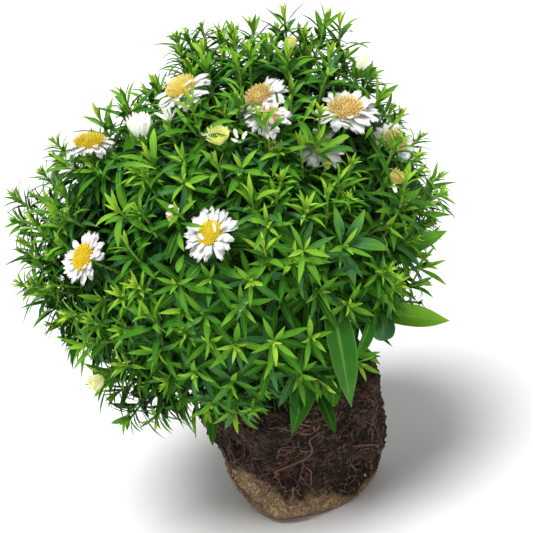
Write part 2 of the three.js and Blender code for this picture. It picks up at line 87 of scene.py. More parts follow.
# around and above are degrees on the dome; lift and turn tilt the face; old runs from 0 for a fresh bloom to
# 1 for a spent one; petals is their share of the full reach, hang how far they droop, disc a radius, and
# clear the share of the bloom that no leaf covers. gaps are bare parts of the ring (middle, half width) and
# loose petals lie on the disc (side, share of the disc, heading, length); 0 is left and angles run downwards.
# pale lightens the disc, and a shaggy disc has long florets though it isn't old
openBlooms = named("around above size lift turn reach old petals hang disc clear", [
    (-141, 47, 0.96, 2.0, 90, 1.0, 0.15, 0.86, 34, 7.7, 0.55, {"pale": 0.6, "shaggy": True}),
    (-99, 62, 1.0, 0.1, -17, 1.0, 0.1, 1.0, 4, 7.7, 0.3,
     {"pale": 1.4, "shaggy": True, "gaps": [(5.9, 0.8), (0.9, 0.3), (1.75, 0.3)],
      "loose": [(3.3, 0.6, 4.9, 9.0)]}),
    (-61, 56, 0.95, 0.0, -56, 0.9, 0.74, 1.02, 8, 6.9, 0.35, {"gaps": [(5.3, 0.8)]}),
    (-71, 43, 0.8, 0.3, 0, 1.03, 0.9, 0.94, 12, 6.0, 0.0,
     {"gaps": [(5.0, 0.6), (2.0, 0.3)],
      "loose": [(0.4, 0.4, 0.2, 8.0), (3.3, 0.3, 2.7, 8.0), (1.6, 0.2, 1.3, 9.0), (4.6, 0.3, 4.2, 7.0),
                (2.6, 0.5, 5.6, 8.0)]}),
    (-43, 37, 1.14, 0.9, -25, 1.0, 0.76, 0.97, 12, 8.5, 0.55, {"gaps": [(5.4, 0.35)]}),
    (-32, 23, 0.8, 0.2, -30, 0.98, 0.55, 0.94, 8, 6.2, 0.0, {"gaps": [(0.6, 0.7), (3.6, 0.4)]}),
    (-54, 33, 0.9, 0.7, 0, 0.88, 0.7, 1.0, 18, 6.6, 0.0, {"gaps": [(4.7, 0.5)]}),
    (-96, 18, 1.04, 0.65, -23, 1.0, 0.0, 0.9, 6, 6.8, 0.9,
     {"pale": 0.15, "gaps": [(4.86, 0.13), (3.1, 0.16), (1.88, 0.12)],
      "loose": [(2.9, 0.85, 5.14, 8.0), (1.28, 0.8, 5.5, 7.6)]}),
    (-133, 16, 1.0, 0.55, -5, 1.0, 0.05, 0.9, 6, 7.6, 0.92, {"gaps": [(5.4, 0.25), (3.0, 0.16)]}),
    (62, 42, 1.0, 0.2, 0, 1.0, 0.1, 0.94, 6, 7.6, 0.8),
    (118, 24, 0.95, 0.2, 0, 1.0, 0.75, 0.92, 10, 7.2, 0.7),
    (152, 28, 1.0, 0.2, 0, 0.99, 0.0, 0.92, 6, 7.5, 0.8),
])

# spread is how far the petals of a closed head lean out, in degrees; warm makes them yellower, then tan;
# slim is a petal's width as a share of the girth, and white petals stick out below (direction, length)
closedHeads = named("around above girth height lift turn reach spread warm petals slim clear", [
    (-118, 50, 9.0, 13, 1.2, 60, 0.98, -2, 0.0, 84, 0.24, 0.8),
    (-88, 42, 6.8, 9, 0.25, 0, 1.0, 8, 0.62, 54, 0.36, 0.7, {"white": [(5.6, 9.5)]}),
    (-21, 44, 6.0, 9, 0.25, 0, 1.06, -14, 0.3, 46, 0.42, 0.7),
    (-26, 62, 5.2, 7, 0.25, 0, 1.03, -12, 0.92, 46, 0.42, 0.8),
    (-143, 13, 6.4, 9, 0.25, 0, 0.92, 16, 0.05, 40, 0.44, 0.5),
    (-147, -24, 6.6, 10, 0.25, 0, 1.0, -2, 0.5, 56, 0.38, 0.95),
    (-43, 15, 6.4, 7, 0.25, 0, 1.0, 0, 1.12, 44, 0.34, 0.3, {"white": [(0.8, 8.0)]}),
])


def wobble(index, salt):  # the same number from -1 to 1 each time
    s = math.sin(index * 12.9898 + salt * 78.233) * 43758.5453
    return (s - math.floor(s)) * 2 - 1


def directionOf(around, above):
    a, e = math.radians(around), math.radians(above)
    return Vector((math.cos(e) * math.cos(a), math.cos(e) * math.sin(a), math.sin(e)))


def spiralDirection(index, count, turn, lowest=canopy["lowestSine"]):
    sine = 1 - (1 - lowest) * (index + 0.5) / count
    flat, angle = math.sqrt(1 - sine * sine), index * goldenAngle + turn
    return Vector((flat * math.cos(angle), flat * math.sin(angle), sine))


def canopyPoint(direction, share=1.0):
    return direction * canopy["reach"] * share + canopy["centre"]


def swollen(direction):
    near = [(max(0, direction.dot(directionOf(w["around"], w["above"]))), w) for w in swells]
    return 1 + sum(w["share"] * close ** w["focus"] for close, w in near)


def headOf(entry, index, kind):
    direction = directionOf(entry["around"], entry["above"])
    axis = (directionOf(entry["around"] + entry["turn"], entry["above"]) + up * entry["lift"]).normalized()
    place = canopyPoint(direction, entry["reach"])
    seat = place - axis * skeleton["cupHeight"] / 2
    return dict(entry, index=index, kind=kind, direction=direction, axis=axis, place=place, seat=seat)


heads = [headOf(e, i, "open") for i, e in enumerate(openBlooms)]
heads += [headOf(e, i, "closed") for i, e in enumerate(closedHeads)]


def roomOf(head):
    if head["kind"] == "open":
        return skeleton["bloomRoom"] * head["size"]
    return head["girth"] + skeleton["headRoom"]


def shootTips():
    tips = []
    for i in range(skeleton["shoots"]):
        direction = spiralDirection(i, skeleton["shoots"], skeleton["turn"])
        place = canopyPoint(direction, swollen(direction) + skeleton["uneven"] * wobble(i, 3))
        if any((head["place"] - place).length < roomOf(head) for head in heads):
            continue
        axis = (direction + up * skeleton["lean"]).normalized()
        tips.append({"kind": "shoot", "index": i, "direction": direction, "seat": place, "axis": axis})
    return tips


def bezier(*knots):
    def at(t):
        points = list(knots)
        while len(points) > 1:
            points = [a.lerp(b, t) for a, b in zip(points, points[1:])]
        return points[0]
    return at


def pathTo(start, end, axis):
    return bezier(start, end - axis * 0.5 * (end - start).length, end)


def soilHeight(radius):
    return ball["height"] - ball["sink"] * (radius / ball["rimRadius"]) ** 2


def growStem(s):
    polar = math.acos(s["direction"].z) / math.acos(canopy["lowestSine"])
    radius = crown["innerRadius"] + (crown["outerRadius"] - crown["innerRadius"]) * polar
    s["outward"] = Vector((s["direction"].x, s["direction"].y, 0)).normalized()
    s["foot"] = s["outward"] * radius + up * (soilHeight(radius) - crown["holeDepth"])
    s["ends"].sort(key=lambda end: -end["direction"].dot(s["direction"]))
    leader, others = s["ends"][0], s["ends"][1:]
    reach = (leader["seat"] - s["foot"]).length
    s["main"] = bezier(s["foot"], s["foot"] + up * skeleton["rise"] * reach,
                       leader["seat"] - leader["axis"] * skeleton["arrive"] * reach, leader["seat"])
    leader["path"] = s["main"]
    for i, end in enumerate(others):
        share = skeleton["forkLow"] + (skeleton["forkHigh"] - skeleton["forkLow"]) * (i + 0.5) / len(others)
        end["path"] = pathTo(s["main"](share), end["seat"], end["axis"])
    return s


def makeStems():
    count = skeleton["stems"]
    stems = [{"index": i, "direction": spiralDirection(i, count, 0), "ends": [], "extra": []}
             for i in range(count)]
    for end in shootTips() + heads:
        max(stems, key=lambda s: s["direction"].dot(end["direction"]))["ends"].append(end)
    return [growStem(s) for s in stems]


stems = makeStems()

# More shoots between the main ones, which the solids hold as the thick of the leaves
extraShoots = {"count": 270, "turn": 2.1, "lowestSine": -0.7, "apart": 15.0, "frontApart": 7, "reach": -0.035,
               "uneven": 0.045, "fork": (0.4, 0.68), "lean": (0.2, 0.5), "seed": 5}
styleChances = {"crown": [0.2, 0.3, 0.5], "sides": [0.5, 0.32, 0.18], "crownSine": 0.6}  # star, brush, spear
# Shoots that stand out on the side with the most blooms: their style and where they end
frontShoots = {
    "star": [(-46, -125, 211), (-27, -128, 210), (-5, -130, 203), (12, -124, 231), (-26, -99, 274),
             (-28, -107, 264), (-79, -69, 276), (-82, -60, 279), (-66, -69, 283), (52, -95, 264),
             (29, -104, 266), (6, -109, 264), (21, -127, 208), (52, -118, 206), (92, -88, 210),
             (-69, -113, 169), (-23, -126, 166), (-36, -127, 189), (-47, -98, 123), (-104, -54, 108),
             (-37, -125, 172), (69, -56, 292), (101, -61, 254), (16, -98, 147), (-142, -9, 242)],
    "brush": [(-57, -104, 253), (-81, -108, 208), (-110, -60, 255), (-70, -114, 213), (21, -118, 245),
             (-49, -98, 269), (-104, -6, 284), (-117, -11, 268), (58, -86, 271), (26, -113, 253),
             (68, -96, 246), (90, -76, 249), (109, -59, 233), (36, -117, 234), (78, -100, 170),
             (61, -107, 229), (-104, -90, 191), (-49, -123, 182), (-105, -86, 174), (-94, -92, 160),
             (4, 15, 331), (-13, 13, 327), (58, -90, 279), (93, -78, 254), (99, -84, 250), (-140, -5, 258),
             (-144, -14, 223), (-150, -22, 205), (-2, 4, 320), (21, 18, 319), (83, 12, 298), (-13, -8, 321)],
    "spear": [(7, -128, 220), (-69, -108, 237), (7, -117, 248), (-44, -90, 279), (-7, -105, 270),
             (-71, -27, 296), (-53, -29, 306), (-33, -10, 305), (13, -77, 295), (37, -83, 284),
             (42, -99, 264), (59, -105, 243), (23, -98, 274), (18, -68, 301), (37, -123, 204),
             (50, -111, 237), (-67, -117, 195), (1, -15, 319), (13, 15, 326), (19, -50, 310),
             (40, -30, 317), (57, 10, 324), (50, -46, 308), (80, 7, 316), (-9, -30, 313), (90, 6, 311),
             (21, -20, 320), (26, -90, 284), (41, -79, 287), (-8, -72, 305), (26, -106, 286), (-13, -86, 302),
             (-6, 8, 330), (9, 16, 318), (35, 14, 321), (64, 16, 309), (87, 0, 288), (36, -6, 304),
             (12, -4, 310), (65, -8, 297), (97, -98, 229), (-104, -44, 259), (-115, -34, 254),
             (-130, -24, 243), (-111, -50, 245), (-123, -40, 236), (-138, -18, 227), (-133, -34, 219),
             (-122, -48, 223), (-140, -24, 202), (-131, -40, 200)],
}
# How each style of shoot turns: shares of its own direction and of the sky, and where it leaves the stem
stances = {"star": (1.0, 0.15, 0.55), "brush": (0.75, 0.7, 0.5), "spear": (0.45, 1.0, 0.5)}
# Main shoots that stay small, by number, because large leaves or the root ball show there
quietShoots = {49: 0.42, 54: 0.45, 52: 0.5, 44: 0.6, 31: 0.8}
# Where no more shoots grow, so that the root ball shows below, as shares of the dome
bareSide = {"xAbove": 0.42, "yBelow": 0.5, "zBelow": -0.36}
# Shoots that hang at the lower left of the bush: place and axis
sprigs = [
    ((-106, -60, 112), (-0.6, -0.5, -0.35)),
    ((-86, -66, 108), (-0.35, -0.6, -0.5)),
    ((-54, -62, 104), (-0.1, -0.8, -0.3)),
    ((-118, -40, 128), (-0.8, -0.3, -0.1)),
]
# Small heads half hidden among the leaves: petals is their number, warm as for the closed heads
smallHeads = named("place petals long spread warm", [
    ((-94, -43, 274), 8, 9, 50, 0.0),
    ((-47, -74, 284), 4, 4.5, 30, 0.1),
    ((-28, -69, 293), 9, 9, 34, 0.05),
    ((-17, -68, 296), 4, 9, 26, 0.0),
    ((9, -94, 276), 5, 6, 36, 0.12),
    ((26, -97, 267), 14, 5, 20, 0.8),
    ((-37, -111, 249), 3, 6, 40, 0.1),
    ((-39, -112, 245), 8, 4.5, 16, 1.1),
    ((54, -95, 248), 12, 4.5, 18, 1.15),
])


def directionTo(place):
    return Vector([(a - c) / r for a, c, r in zip(place, canopy["centre"], canopy["reach"])]).normalized()


def onBareSide(x, y, z):
    return (x > bareSide["xAbove"]) & (y < bareSide["yBelow"]) & (z < bareSide["zBelow"])


def hang(place, axis, fork, style, **more):
    direction = directionTo(place)
    s = max(stems, key=lambda s: s["direction"].dot(direction))
    path = pathTo(s["main"](fork), place, axis.normalized())
    s["extra"].append(dict(more, kind="extra", style=style, direction=direction, seat=place, path=path))


def styleFor(direction, draw):
    chances = styleChances["crown" if direction.z > styleChances["crownSine"] else "sides"]
    return draw.choices(["star", "brush", "spear"], chances)[0]


def coversHead(place):
    return any((head["place"] - place).length < roomOf(head) * (0.6 + 0.4 * head["clear"]) - 5
               for head in heads)


def addExtraShoots():
    draw = random.Random(extraShoots["seed"])
    ends = [end for s in stems for end in s["ends"] if end["kind"] == "shoot"]
    for end in ends:
        end["style"] = styleFor(end["direction"], draw)
    tips = [end["seat"] for end in ends]
    for style, places in frontShoots.items():
        own, skyward, fork = stances[style]
        for place in map(Vector, places):
            if all((tip - place).length > extraShoots["frontApart"] for tip in tips):
                hang(place, directionTo(place) * own + up * skyward, fork, style)
                tips.append(place)
    for i in range(extraShoots["count"]):
        direction = spiralDirection(i, extraShoots["count"], extraShoots["turn"], extraShoots["lowestSine"])
        share = swollen(direction) + extraShoots["reach"] + extraShoots["uneven"] * draw.uniform(-1, 1)
        place = canopyPoint(direction, share)
        fork, lean = draw.uniform(*extraShoots["fork"]), draw.uniform(*extraShoots["lean"])
        style = styleFor(direction, draw)
        isClose = any((tip - place).length < extraShoots["apart"] for tip in tips)
        if not (isClose or onBareSide(*direction) or coversHead(place)):
            hang(place, direction + up * lean, fork, style)
            tips.append(place)
    for small in smallHeads:
        place = Vector(small["place"])
        hang(place, directionTo(place) + up * 0.3, 0.6, "star", small=small)
    for place, axis in sprigs:
        hang(Vector(place), Vector(axis), 0.4, "star")
    return sum(len(s["extra"]) for s in stems)


print("skeleton:", len(stems), "stems,", addExtraShoots(), "more shoots")


# Meshes are gathered as batches of grids of points and turned into one object for each piece

def addObject(name, data):
    thing = bpy.data.objects.new(name, data)
    bpy.context.scene.collection.objects.link(thing)
    return thing


class Store:
    def __init__(self):
        self.points, self.faces, self.uvs, self.slots, self.count = [], [], [], [], 0
        self.values = {"age": [], "tone": []}

    def add(self, grids, age=0.0, tone=0.0, slot=0, ring=False):
        if grids.ndim == 3:
            grids = grids[None]
        many, rows, cols = grids.shape[:3]
        index = self.count + np.arange(many * rows * cols).reshape(many, rows, cols)
        if ring:
            index = np.concatenate([index, index[:, :, :1]], axis=2)
        corners = [index[:, :-1, :-1], index[:, :-1, 1:], index[:, 1:, 1:], index[:, 1:, :-1]]
        quads = np.stack(corners, axis=-1).reshape(-1, 4)
        u, v = np.meshgrid(np.linspace(0, 1, cols), np.linspace(0, 1, rows))
        self.points.append(grids.reshape(-1, 3))
        self.faces.append(quads)
        self.uvs.append(np.tile(np.stack([u, v], axis=-1).reshape(-1, 2), (many, 1)))
        for key, value in (("age", age), ("tone", tone)):
            value = np.asarray(value, float)
            while value.ndim < 3:
                value = value[..., None]
            self.values[key].append(np.broadcast_to(value, (many, rows, cols)).reshape(-1))
        self.slots.append(np.full(len(quads), slot))
        self.count += many * rows * cols

    def make(self, name, materials):
        faces = np.concatenate(self.faces)
        mesh = bpy.data.meshes.new(name)
        mesh.vertices.add(self.count)
        mesh.vertices.foreach_set("co", (np.concatenate(self.points) / metre).ravel())
        mesh.loops.add(faces.size)
        mesh.loops.foreach_set("vertex_index", faces.ravel())
        mesh.polygons.add(len(faces))
        mesh.polygons.foreach_set("loop_start", np.arange(0, faces.size, 4))
        mesh.polygons.foreach_set("material_index", np.concatenate(self.slots).astype(np.int32))
        mesh.polygons.foreach_set("use_smooth", np.ones(len(faces), dtype=bool))
        mesh.update(calc_edges=True)
        layer = mesh.uv_layers.new(name="UVMap")
        layer.data.foreach_set("uv", np.concatenate(self.uvs)[faces.ravel()].ravel())
        for key, parts in self.values.items():
            mesh.attributes.new(key, "FLOAT", "POINT").data.foreach_set("value", np.concatenate(parts))
        for material in materials:
            mesh.materials.append(material)
        return addObject(name, mesh)


def dress(store, name, materials, node):
    piece = store.make(name, materials)
    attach(piece, "root")
    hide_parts(node)
    return piece


def unit(v):
    return v / np.maximum(np.linalg.norm(v, axis=-1, keepdims=True), 1e-9)


def evenTurns(many):
    return np.linspace(0, fullTurn, many, endpoint=False)


def loopsRound(run, angles):
    side = unit(np.cross(run, np.array([0.31, 0.87, 0.38])))
    other = np.cross(run, side)
    return side[:, None] * np.cos(angles)[None, :, None] + other[:, None] * np.sin(angles)[None, :, None]


def tube(points, radii, sides):
    loops = loopsRound(unit(np.gradient(points, axis=0)), evenTurns(sides))
    return points[:, None] + loops * np.asarray(radii, float)[:, None, None]


def smooth(line):
    for i in range(2):
        line[1:-1] = (line[:-2] + 2 * line[1:-1] + line[2:]) / 4
    return line


def roundTheAxis(axis, angles):
    axis = np.atleast_2d(axis)
    reference = np.where(np.abs(axis[:, 2:3]) > 0.9, np.array([[1.0, 0, 0]]), np.array([[0, 0, 1.0]]))
    first = unit(np.cross(axis, reference))
    second = np.cross(axis, first)
    return first * np.cos(angles)[:, None] + second * np.sin(angles)[:, None]


def placeAndAxis(head):
    return np.array(head["place"]), np.array(head["axis"])


# Blades: leaves, bracts and petals share one way of bending a flat form

leafForm = {"stations": [0, 0.08, 0.2, 0.34, 0.48, 0.62, 0.76, 0.88, 1.0],
            "halfWidths": [0.2, 0.32, 0.62, 0.88, 1.0, 0.95, 0.7, 0.36, 0.02],
            "fold": 0.42, "wave": 0.07, "notch": 0.0, "rows": 7, "columns": 5}
basalForm = {"stations": [0, 0.12, 0.35, 0.6, 0.78, 0.9, 0.97, 1.0],
             "halfWidths": [0.2, 0.3, 0.72, 1.0, 0.95, 0.68, 0.33, 0.05],
             "fold": 0.42, "wave": 0.16, "notch": 0.0, "rows": 16, "columns": 7}
petalForm = {"stations": [0, 0.2, 0.5, 0.75, 0.9, 1.0],
             "halfWidths": [0.42, 0.68, 0.95, 1.0, 0.86, 0.5],
             "fold": -0.12, "wave": 0.14, "notch": 0.3, "rows": 8, "columns": 7}


def blades(draw, base, axis, out, length, width, lean, curl, droop=0.0, twist=0.3, phase=6, fold=None):
    many = len(base)
    p = {"base": base, "axis": np.atleast_2d(axis), "out": out, "length": length, "width": width,
         "angle": np.radians(lean), "curl": np.radians(curl), "droop": np.broadcast_to(droop, many),
         "twist": draw.uniform(-twist, twist, many) if twist else np.zeros(many),
         "phase": draw.uniform(0, phase, many)}
    if fold is not None:
        p["fold"] = draw.uniform(*fold, many) if isinstance(fold, tuple) else np.full(many, fold)
    return p


def spread(middle, run, side, width, phase, form, columns, fold=None):
    t = np.linspace(0, 1, middle.shape[1])
    s = np.linspace(-1, 1, columns)
    face = np.cross(run, side)
    half = width[:, None] / 2 * np.interp(t, form["stations"], form["halfWidths"])
    keel = np.sqrt(s ** 2 + 0.03) - 0.17
    ripple = form["wave"] * np.sin(9 * t[None] + phase[:, None])[..., None] * (s ** 2)
    depth = form["fold"] if fold is None else fold[:, None, None]
    lift = half[..., None] * (depth * keel + ripple)
    teeth = form["notch"] * (t ** 8)[:, None] * (np.cos(3 * math.pi * s) - 1) / 2
    ahead = half.max(axis=1)[:, None, None] * 3 * teeth[None]
    return (middle[:, :, None] + side[:, :, None] * (half[..., None] * s)[..., None]
            + face[:, :, None] * lift[..., None] + run[:, :, None] * ahead[..., None])


def bendBlades(p, form):
    rows = form["rows"]
    t = np.linspace(0, 1, rows)
    lean = p["angle"][:, None] + p["curl"][:, None] * t ** 1.25
    run = p["axis"][:, None] * np.cos(lean)[..., None] + p["out"][:, None] * np.sin(lean)[..., None]
    run[..., 2] -= p["droop"][:, None] * t
    run = unit(run)
    steps = (run[:, 1:] + run[:, :-1]) / 2 * (p["length"] / (rows - 1))[:, None, None]
    middle = np.concatenate([np.zeros_like(run[:, :1]), np.cumsum(steps, axis=1)], axis=1)
    middle = middle + p["base"][:, None]
    side = np.cross(p["axis"], p["out"])[:, None]
    side = unit(side - (side * run).sum(-1, keepdims=True) * run)
    spin = (p["twist"][:, None] * t)[..., None]
    side = side * np.cos(spin) + np.cross(run, side) * np.sin(spin)
    return spread(middle, run, side, p["width"], p["phase"], form, form["columns"], p.get("fold"))


boxMargin = 0.3
lowCorner, highCorner = np.array(cadBox[0]) * metre + boxMargin, np.array(cadBox[1]) * metre - boxMargin
ballProfile = [(38, 0), (46, 7), (51, 22), (54.5, 40), (58.5, 60), (62, 80), (60, 90), (52, 95)]
# Leaves that would leave the box, run into the root ball or cover a head are made smaller, and the
# ones that still do so are left out
clearance = {"ball": 4.0, "soil": 96, "bloomEdge": 1.5, "halfThick": 3.5, "bloomRise": 32, "closedRise": 18,
             "tries": 5, "shorter": 0.76, "narrower": 0.88}


def ballRadius(z):
    return np.interp(z, [p[1] for p in ballProfile], [p[0] for p in ballProfile])


def hasRoom(grids):
    points = grids.reshape(len(grids), -1, 3)
    good = ((points > lowCorner) & (points < highCorner)).all(axis=(1, 2))
    out = np.hypot(points[..., 0], points[..., 1])
    inBall = (points[..., 2] < clearance["soil"]) & (out < ballRadius(points[..., 2]) + clearance["ball"])
    good &= ~inBall.any(axis=1)
    for head in heads:
        place, axis = placeAndAxis(head)
        isOpen = head["kind"] == "open"
        offset = points - place
        rise = offset @ axis
        away = np.linalg.norm(offset - rise[..., None] * axis, axis=-1)
        wide = skeleton["bloomRadius"] * head["size"] if isOpen else head["girth"] + 1
        tall = clearance["bloomRise" if isOpen else "closedRise"]
        hit = (np.abs(rise) < clearance["halfThick"]) & (away < wide + clearance["bloomEdge"])
        hit |= (rise > 0) & (rise < tall) & (away < wide * head["clear"])
        good &= ~hit.any(axis=1)
    return good


def settle(p, form):
    for attempt in range(clearance["tries"]):
        if attempt:
            p["length"] = np.where(good, p["length"], p["length"] * clearance["shorter"])
            p["width"] = np.where(good, p["width"], p["width"] * clearance["narrower"])
        grids = bendBlades(p, form)
        good = hasRoom(grids)
        if good.all():
            break
    return grids[good], good


# Shader trees: a Signal is a socket that can be added, taken away and multiplied

def operator(name, swapped=False):
    def work(self, other=0.0):
        first, second = (other, self) if swapped else (self, other)
        return self.tree.add("ShaderNodeMath", {"operation": name}, {0: first, 1: second})
    return work


class Signal:
    def __init__(self, tree, socket):
        self.tree, self.socket = tree, socket

    __add__, __radd__ = operator("ADD"), operator("ADD", swapped=True)
    __sub__, __rsub__ = operator("SUBTRACT"), operator("SUBTRACT", swapped=True)
    __mul__, __rmul__ = operator("MULTIPLY"), operator("MULTIPLY", swapped=True)
    __abs__ = operator("ABSOLUTE")


class ShaderTree:
    def __init__(self, name):
        self.material = bpy.data.materials.new(name)
        self.material.use_nodes = True
        self.nodes, self.links = self.material.node_tree.nodes, self.material.node_tree.links
        self.shader = next(n for n in self.nodes if n.type == "BSDF_PRINCIPLED")

    def add(self, kind, settings=None, inputs=None, output=0):
        node = self.nodes.new(kind)
        for key, value in (settings or {}).items():
            if key == "stops":
                self.setStops(node.color_ramp, value)
            else:
                setattr(node, key, value)
        self.feed(node, inputs or {})
        return Signal(self, node.outputs[output])

    def setStops(self, ramp, stops):
        ramp.elements.remove(ramp.elements[1])
        for i, (position, colour) in enumerate(stops):
            element = ramp.elements[0] if i == 0 else ramp.elements.new(position)
            element.position, element.color = position, colour

    def feed(self, node, inputs):
        for key, value in inputs.items():
            if isinstance(value, Signal):
                self.links.new(value.socket, node.inputs[key])
            else:
                node.inputs[key].default_value = value

    def attribute(self, name):
        return self.add("ShaderNodeAttribute", {"attribute_name": name}, output="Fac")

    def surfacePlace(self):
        uv = self.add("ShaderNodeUVMap", {"uv_map": "UVMap"})
        split = self.add("ShaderNodeSeparateXYZ", {}, {0: uv}, "X")
        return split, Signal(self, split.socket.node.outputs["Y"])

    def objectPlace(self):
        return self.add("ShaderNodeTexCoord", {}, {}, "Object")

    def noise(self, place, scale, detail=3.0, roughness=0.55):
        return self.add("ShaderNodeTexNoise", {}, {"Vector": place, "Scale": scale, "Detail": detail,
                                                   "Roughness": roughness}, "Fac")

    def fraction(self, value):
        return self.add("ShaderNodeMath", {"operation": "FRACT"}, {0: value})

    def ramp(self, value, stops):
        return self.add("ShaderNodeValToRGB", {"stops": stops}, {0: value})

    def between(self, value, low, high):
        return self.add("ShaderNodeMapRange", {"interpolation_type": "SMOOTHSTEP"},
                        {"Value": value, "From Min": low, "From Max": high})

    def mix(self, factor, first, second, blend="MIX"):
        return self.add("ShaderNodeMix", {"data_type": "RGBA", "blend_type": blend},
                        {0: factor, 6: first, 7: second}, 2)

    def bump(self, height, strength, distance):
        return self.add("ShaderNodeBump", {}, {"Height": height, "Strength": strength, "Distance": distance})

    def finish(self, **inputs):
        names = {"colour": "Base Color", "roughness": "Roughness", "normal": "Normal",
                 "gloss": "Specular IOR Level", "coat": "Coat Weight", "coatRoughness": "Coat Roughness",
                 "glowColour": "Emission Color", "glow": "Emission Strength"}
        self.feed(self.shader, {names[key]: value for key, value in inputs.items()})
        return self.material


# Linear colours. young, fresh, middle and deep run from the shoot tip down the stem; deep is partly painted
# shade
leafPaint = {"young": (0.44, 0.66, 0.06, 1), "fresh": (0.18, 0.44, 0.028, 1),
             "middle": (0.034, 0.185, 0.009, 1), "deep": (0.003, 0.038, 0.0012, 1),
             "rib": (0.32, 0.5, 0.09, 1), "greyAndSheen": (0.055, 0.19, 0.07, 1), "veins": 15, "roughness": 0.5,
             "gloss": 0.05, "coat": 0.35, "coatRoughness": 0.42}


def leafMaterial():
    t = ShaderTree("leaf")
    u, v = t.surfacePlace()
    place = t.objectPlace()
    patch = t.noise(place, 55.0)
    tone = t.attribute("tone")
    stage = t.attribute("age") + tone * 0.12 + (patch - 0.5) * 0.2 - v * 0.06
    # The dark end of the ramp is partly the older leaves' own green and partly painted shade for leaves deep
    # in the bush
    colour = t.ramp(stage, [(0.0, leafPaint["young"]), (0.3, leafPaint["fresh"]),
                            (0.62, leafPaint["middle"]), (1.0, leafPaint["deep"])])
    side = abs(u - 0.5)
    rib = 1 - t.between(side, 0.02, 0.08)
    slant = t.fraction(v * leafPaint["veins"] - side * 12.0)
    vein = t.between(abs(slant - 0.5), 0.38, 0.5)
    colour = t.mix(rib * (1 - v * 0.7) * 0.5, colour, leafPaint["rib"])
    colour = t.mix(vein * 0.1, colour, leafPaint["rib"])
    # Ripe leaves are mixed towards a blue grey-green, partly their own colour and partly painted sheen
    ripe = t.between(tone, 0.1, 1.0)
    grey = ripe * t.between(stage, 0.4, 0.7) * 0.55
    colour = t.mix(t.between(patch, 0.62, 0.8) * 0.2 + grey, colour, leafPaint["greyAndSheen"])
    colour = t.mix(t.between(side, 0.44, 0.5) * 0.25, colour, leafPaint["rib"])
    sheen = ripe * t.between(stage, 0.3, 0.55) * (1 - t.between(stage, 0.75, 0.95))
    height = (1 - rib) * 0.7 - vein * 0.25 + t.noise(place, 900.0) * 0.35
    return t.finish(colour=colour, roughness=leafPaint["roughness"] + (patch - 0.5) * 0.25,
                    gloss=leafPaint["gloss"], coat=sheen * leafPaint["coat"],
                    coatRoughness=leafPaint["coatRoughness"], normal=t.bump(height, 0.4, 0.0004))


stemPaint = {"young": (0.2, 0.42, 0.04, 1), "old": (0.1, 0.13, 0.035, 1), "flush": (0.13, 0.05, 0.03, 1),
             "roughness": 0.55}


def stemMaterial():
    t = ShaderTree("stem")
    u, v = t.surfacePlace()
    place = t.objectPlace()
    streak = t.fraction(u * 6.0)
    colour = t.mix(t.between(v, 0.15, 0.9), stemPaint["old"], stemPaint["young"])
    colour = t.mix(t.between(t.noise(place, 120.0), 0.5, 0.75) * (1 - v), colour, stemPaint["flush"])
    height = abs(streak - 0.5) + t.noise(place, 700.0) * 0.5
    return t.finish(colour=colour, roughness=stemPaint["roughness"] + (t.noise(place, 300.0) - 0.5) * 0.2,
                    normal=t.bump(height, 0.4, 0.0003))


petalPaint = {"white": (0.8, 0.805, 0.8, 1), "paintedShade": (0.55, 0.58, 0.57, 1), "heel": (0.6, 0.66, 0.4, 1),
              "spent": (0.76, 0.6, 0.58, 1), "roughness": 0.55, "gloss": 0.25}


def petalMaterial():
    t = ShaderTree("petal")
    u, v = t.surfacePlace()
    place = t.objectPlace()
    # Darker lines along the petals: painted shade in their creases
    line = t.between(abs(t.fraction(u * 4.0 + 0.5) - 0.5), 0.34, 0.5)
    colour = t.mix(line * 0.3, petalPaint["white"], petalPaint["paintedShade"])
    colour = t.mix((1 - t.between(v, 0.02, 0.3)) * 0.45, colour, petalPaint["heel"])
    worn = t.between(v, 0.7, 1.0) * t.between(t.noise(place, 160.0), 0.45, 0.65)
    colour = t.mix(worn * t.attribute("age") * 0.6, colour, petalPaint["spent"])
    colour = t.mix(t.noise(place, 90.0) * 0.14, colour, petalPaint["paintedShade"])
    return t.finish(colour=colour, roughness=petalPaint["roughness"] + (t.noise(place, 250.0) - 0.5) * 0.15,
                    gloss=petalPaint["gloss"],
                    normal=t.bump(0.6 - line * 0.5 + t.noise(place, 500.0) * 0.3, 0.5, 0.0004))


discPaint = {"deep": (0.66, 0.44, 0.008, 1), "bright": (0.86, 0.66, 0.015, 1), "heart": (0.72, 0.66, 0.05, 1),
             "pale": (0.92, 0.82, 0.28, 1), "oldDeep": (0.66, 0.37, 0.2, 1), "oldTip": (0.9, 0.78, 0.27, 1),
             "roughness": 0.7}


def discMaterial():
    t = ShaderTree("disc")
    v = t.surfacePlace()[1]
    place = t.objectPlace()
    tone, age = t.attribute("tone"), t.attribute("age")
    fresh = t.mix(t.between(v, 0.2, 0.8), discPaint["deep"], discPaint["bright"])
    fresh = t.mix(t.between(tone, 0.55, 1.0) * 0.4, fresh, discPaint["heart"])
    fresh = t.mix(t.between(tone, 1.0, 2.0), fresh, discPaint["pale"])
    old = t.mix(t.between(v, 0.2, 0.7), discPaint["oldDeep"], discPaint["oldTip"])
    spent = t.between(t.noise(place, 260.0), 0.46, 0.6) * (t.between(age, 0.75, 0.95) * 0.8 + 0.1)
    old = t.mix(spent, old, discPaint["oldDeep"])
    grain = t.noise(place, 1200.0)
    return t.finish(colour=t.mix(t.between(age, 0.3, 0.6), fresh, old),
                    roughness=discPaint["roughness"] + (grain - 0.5) * 0.2,
                    normal=t.bump(grain, 0.4, 0.0002))


closedPaint = {"white": (0.97, 0.97, 0.94, 1), "cream": (0.97, 0.96, 0.42, 1), "bud": (0.82, 0.82, 0.14, 1),
               "tan": (0.72, 0.47, 0.16, 1), "paintedShade": (0.58, 0.62, 0.38, 1), "shade": (0.42, 0.42, 0.13, 1),
               "roughness": 0.55, "glow": 0.2}


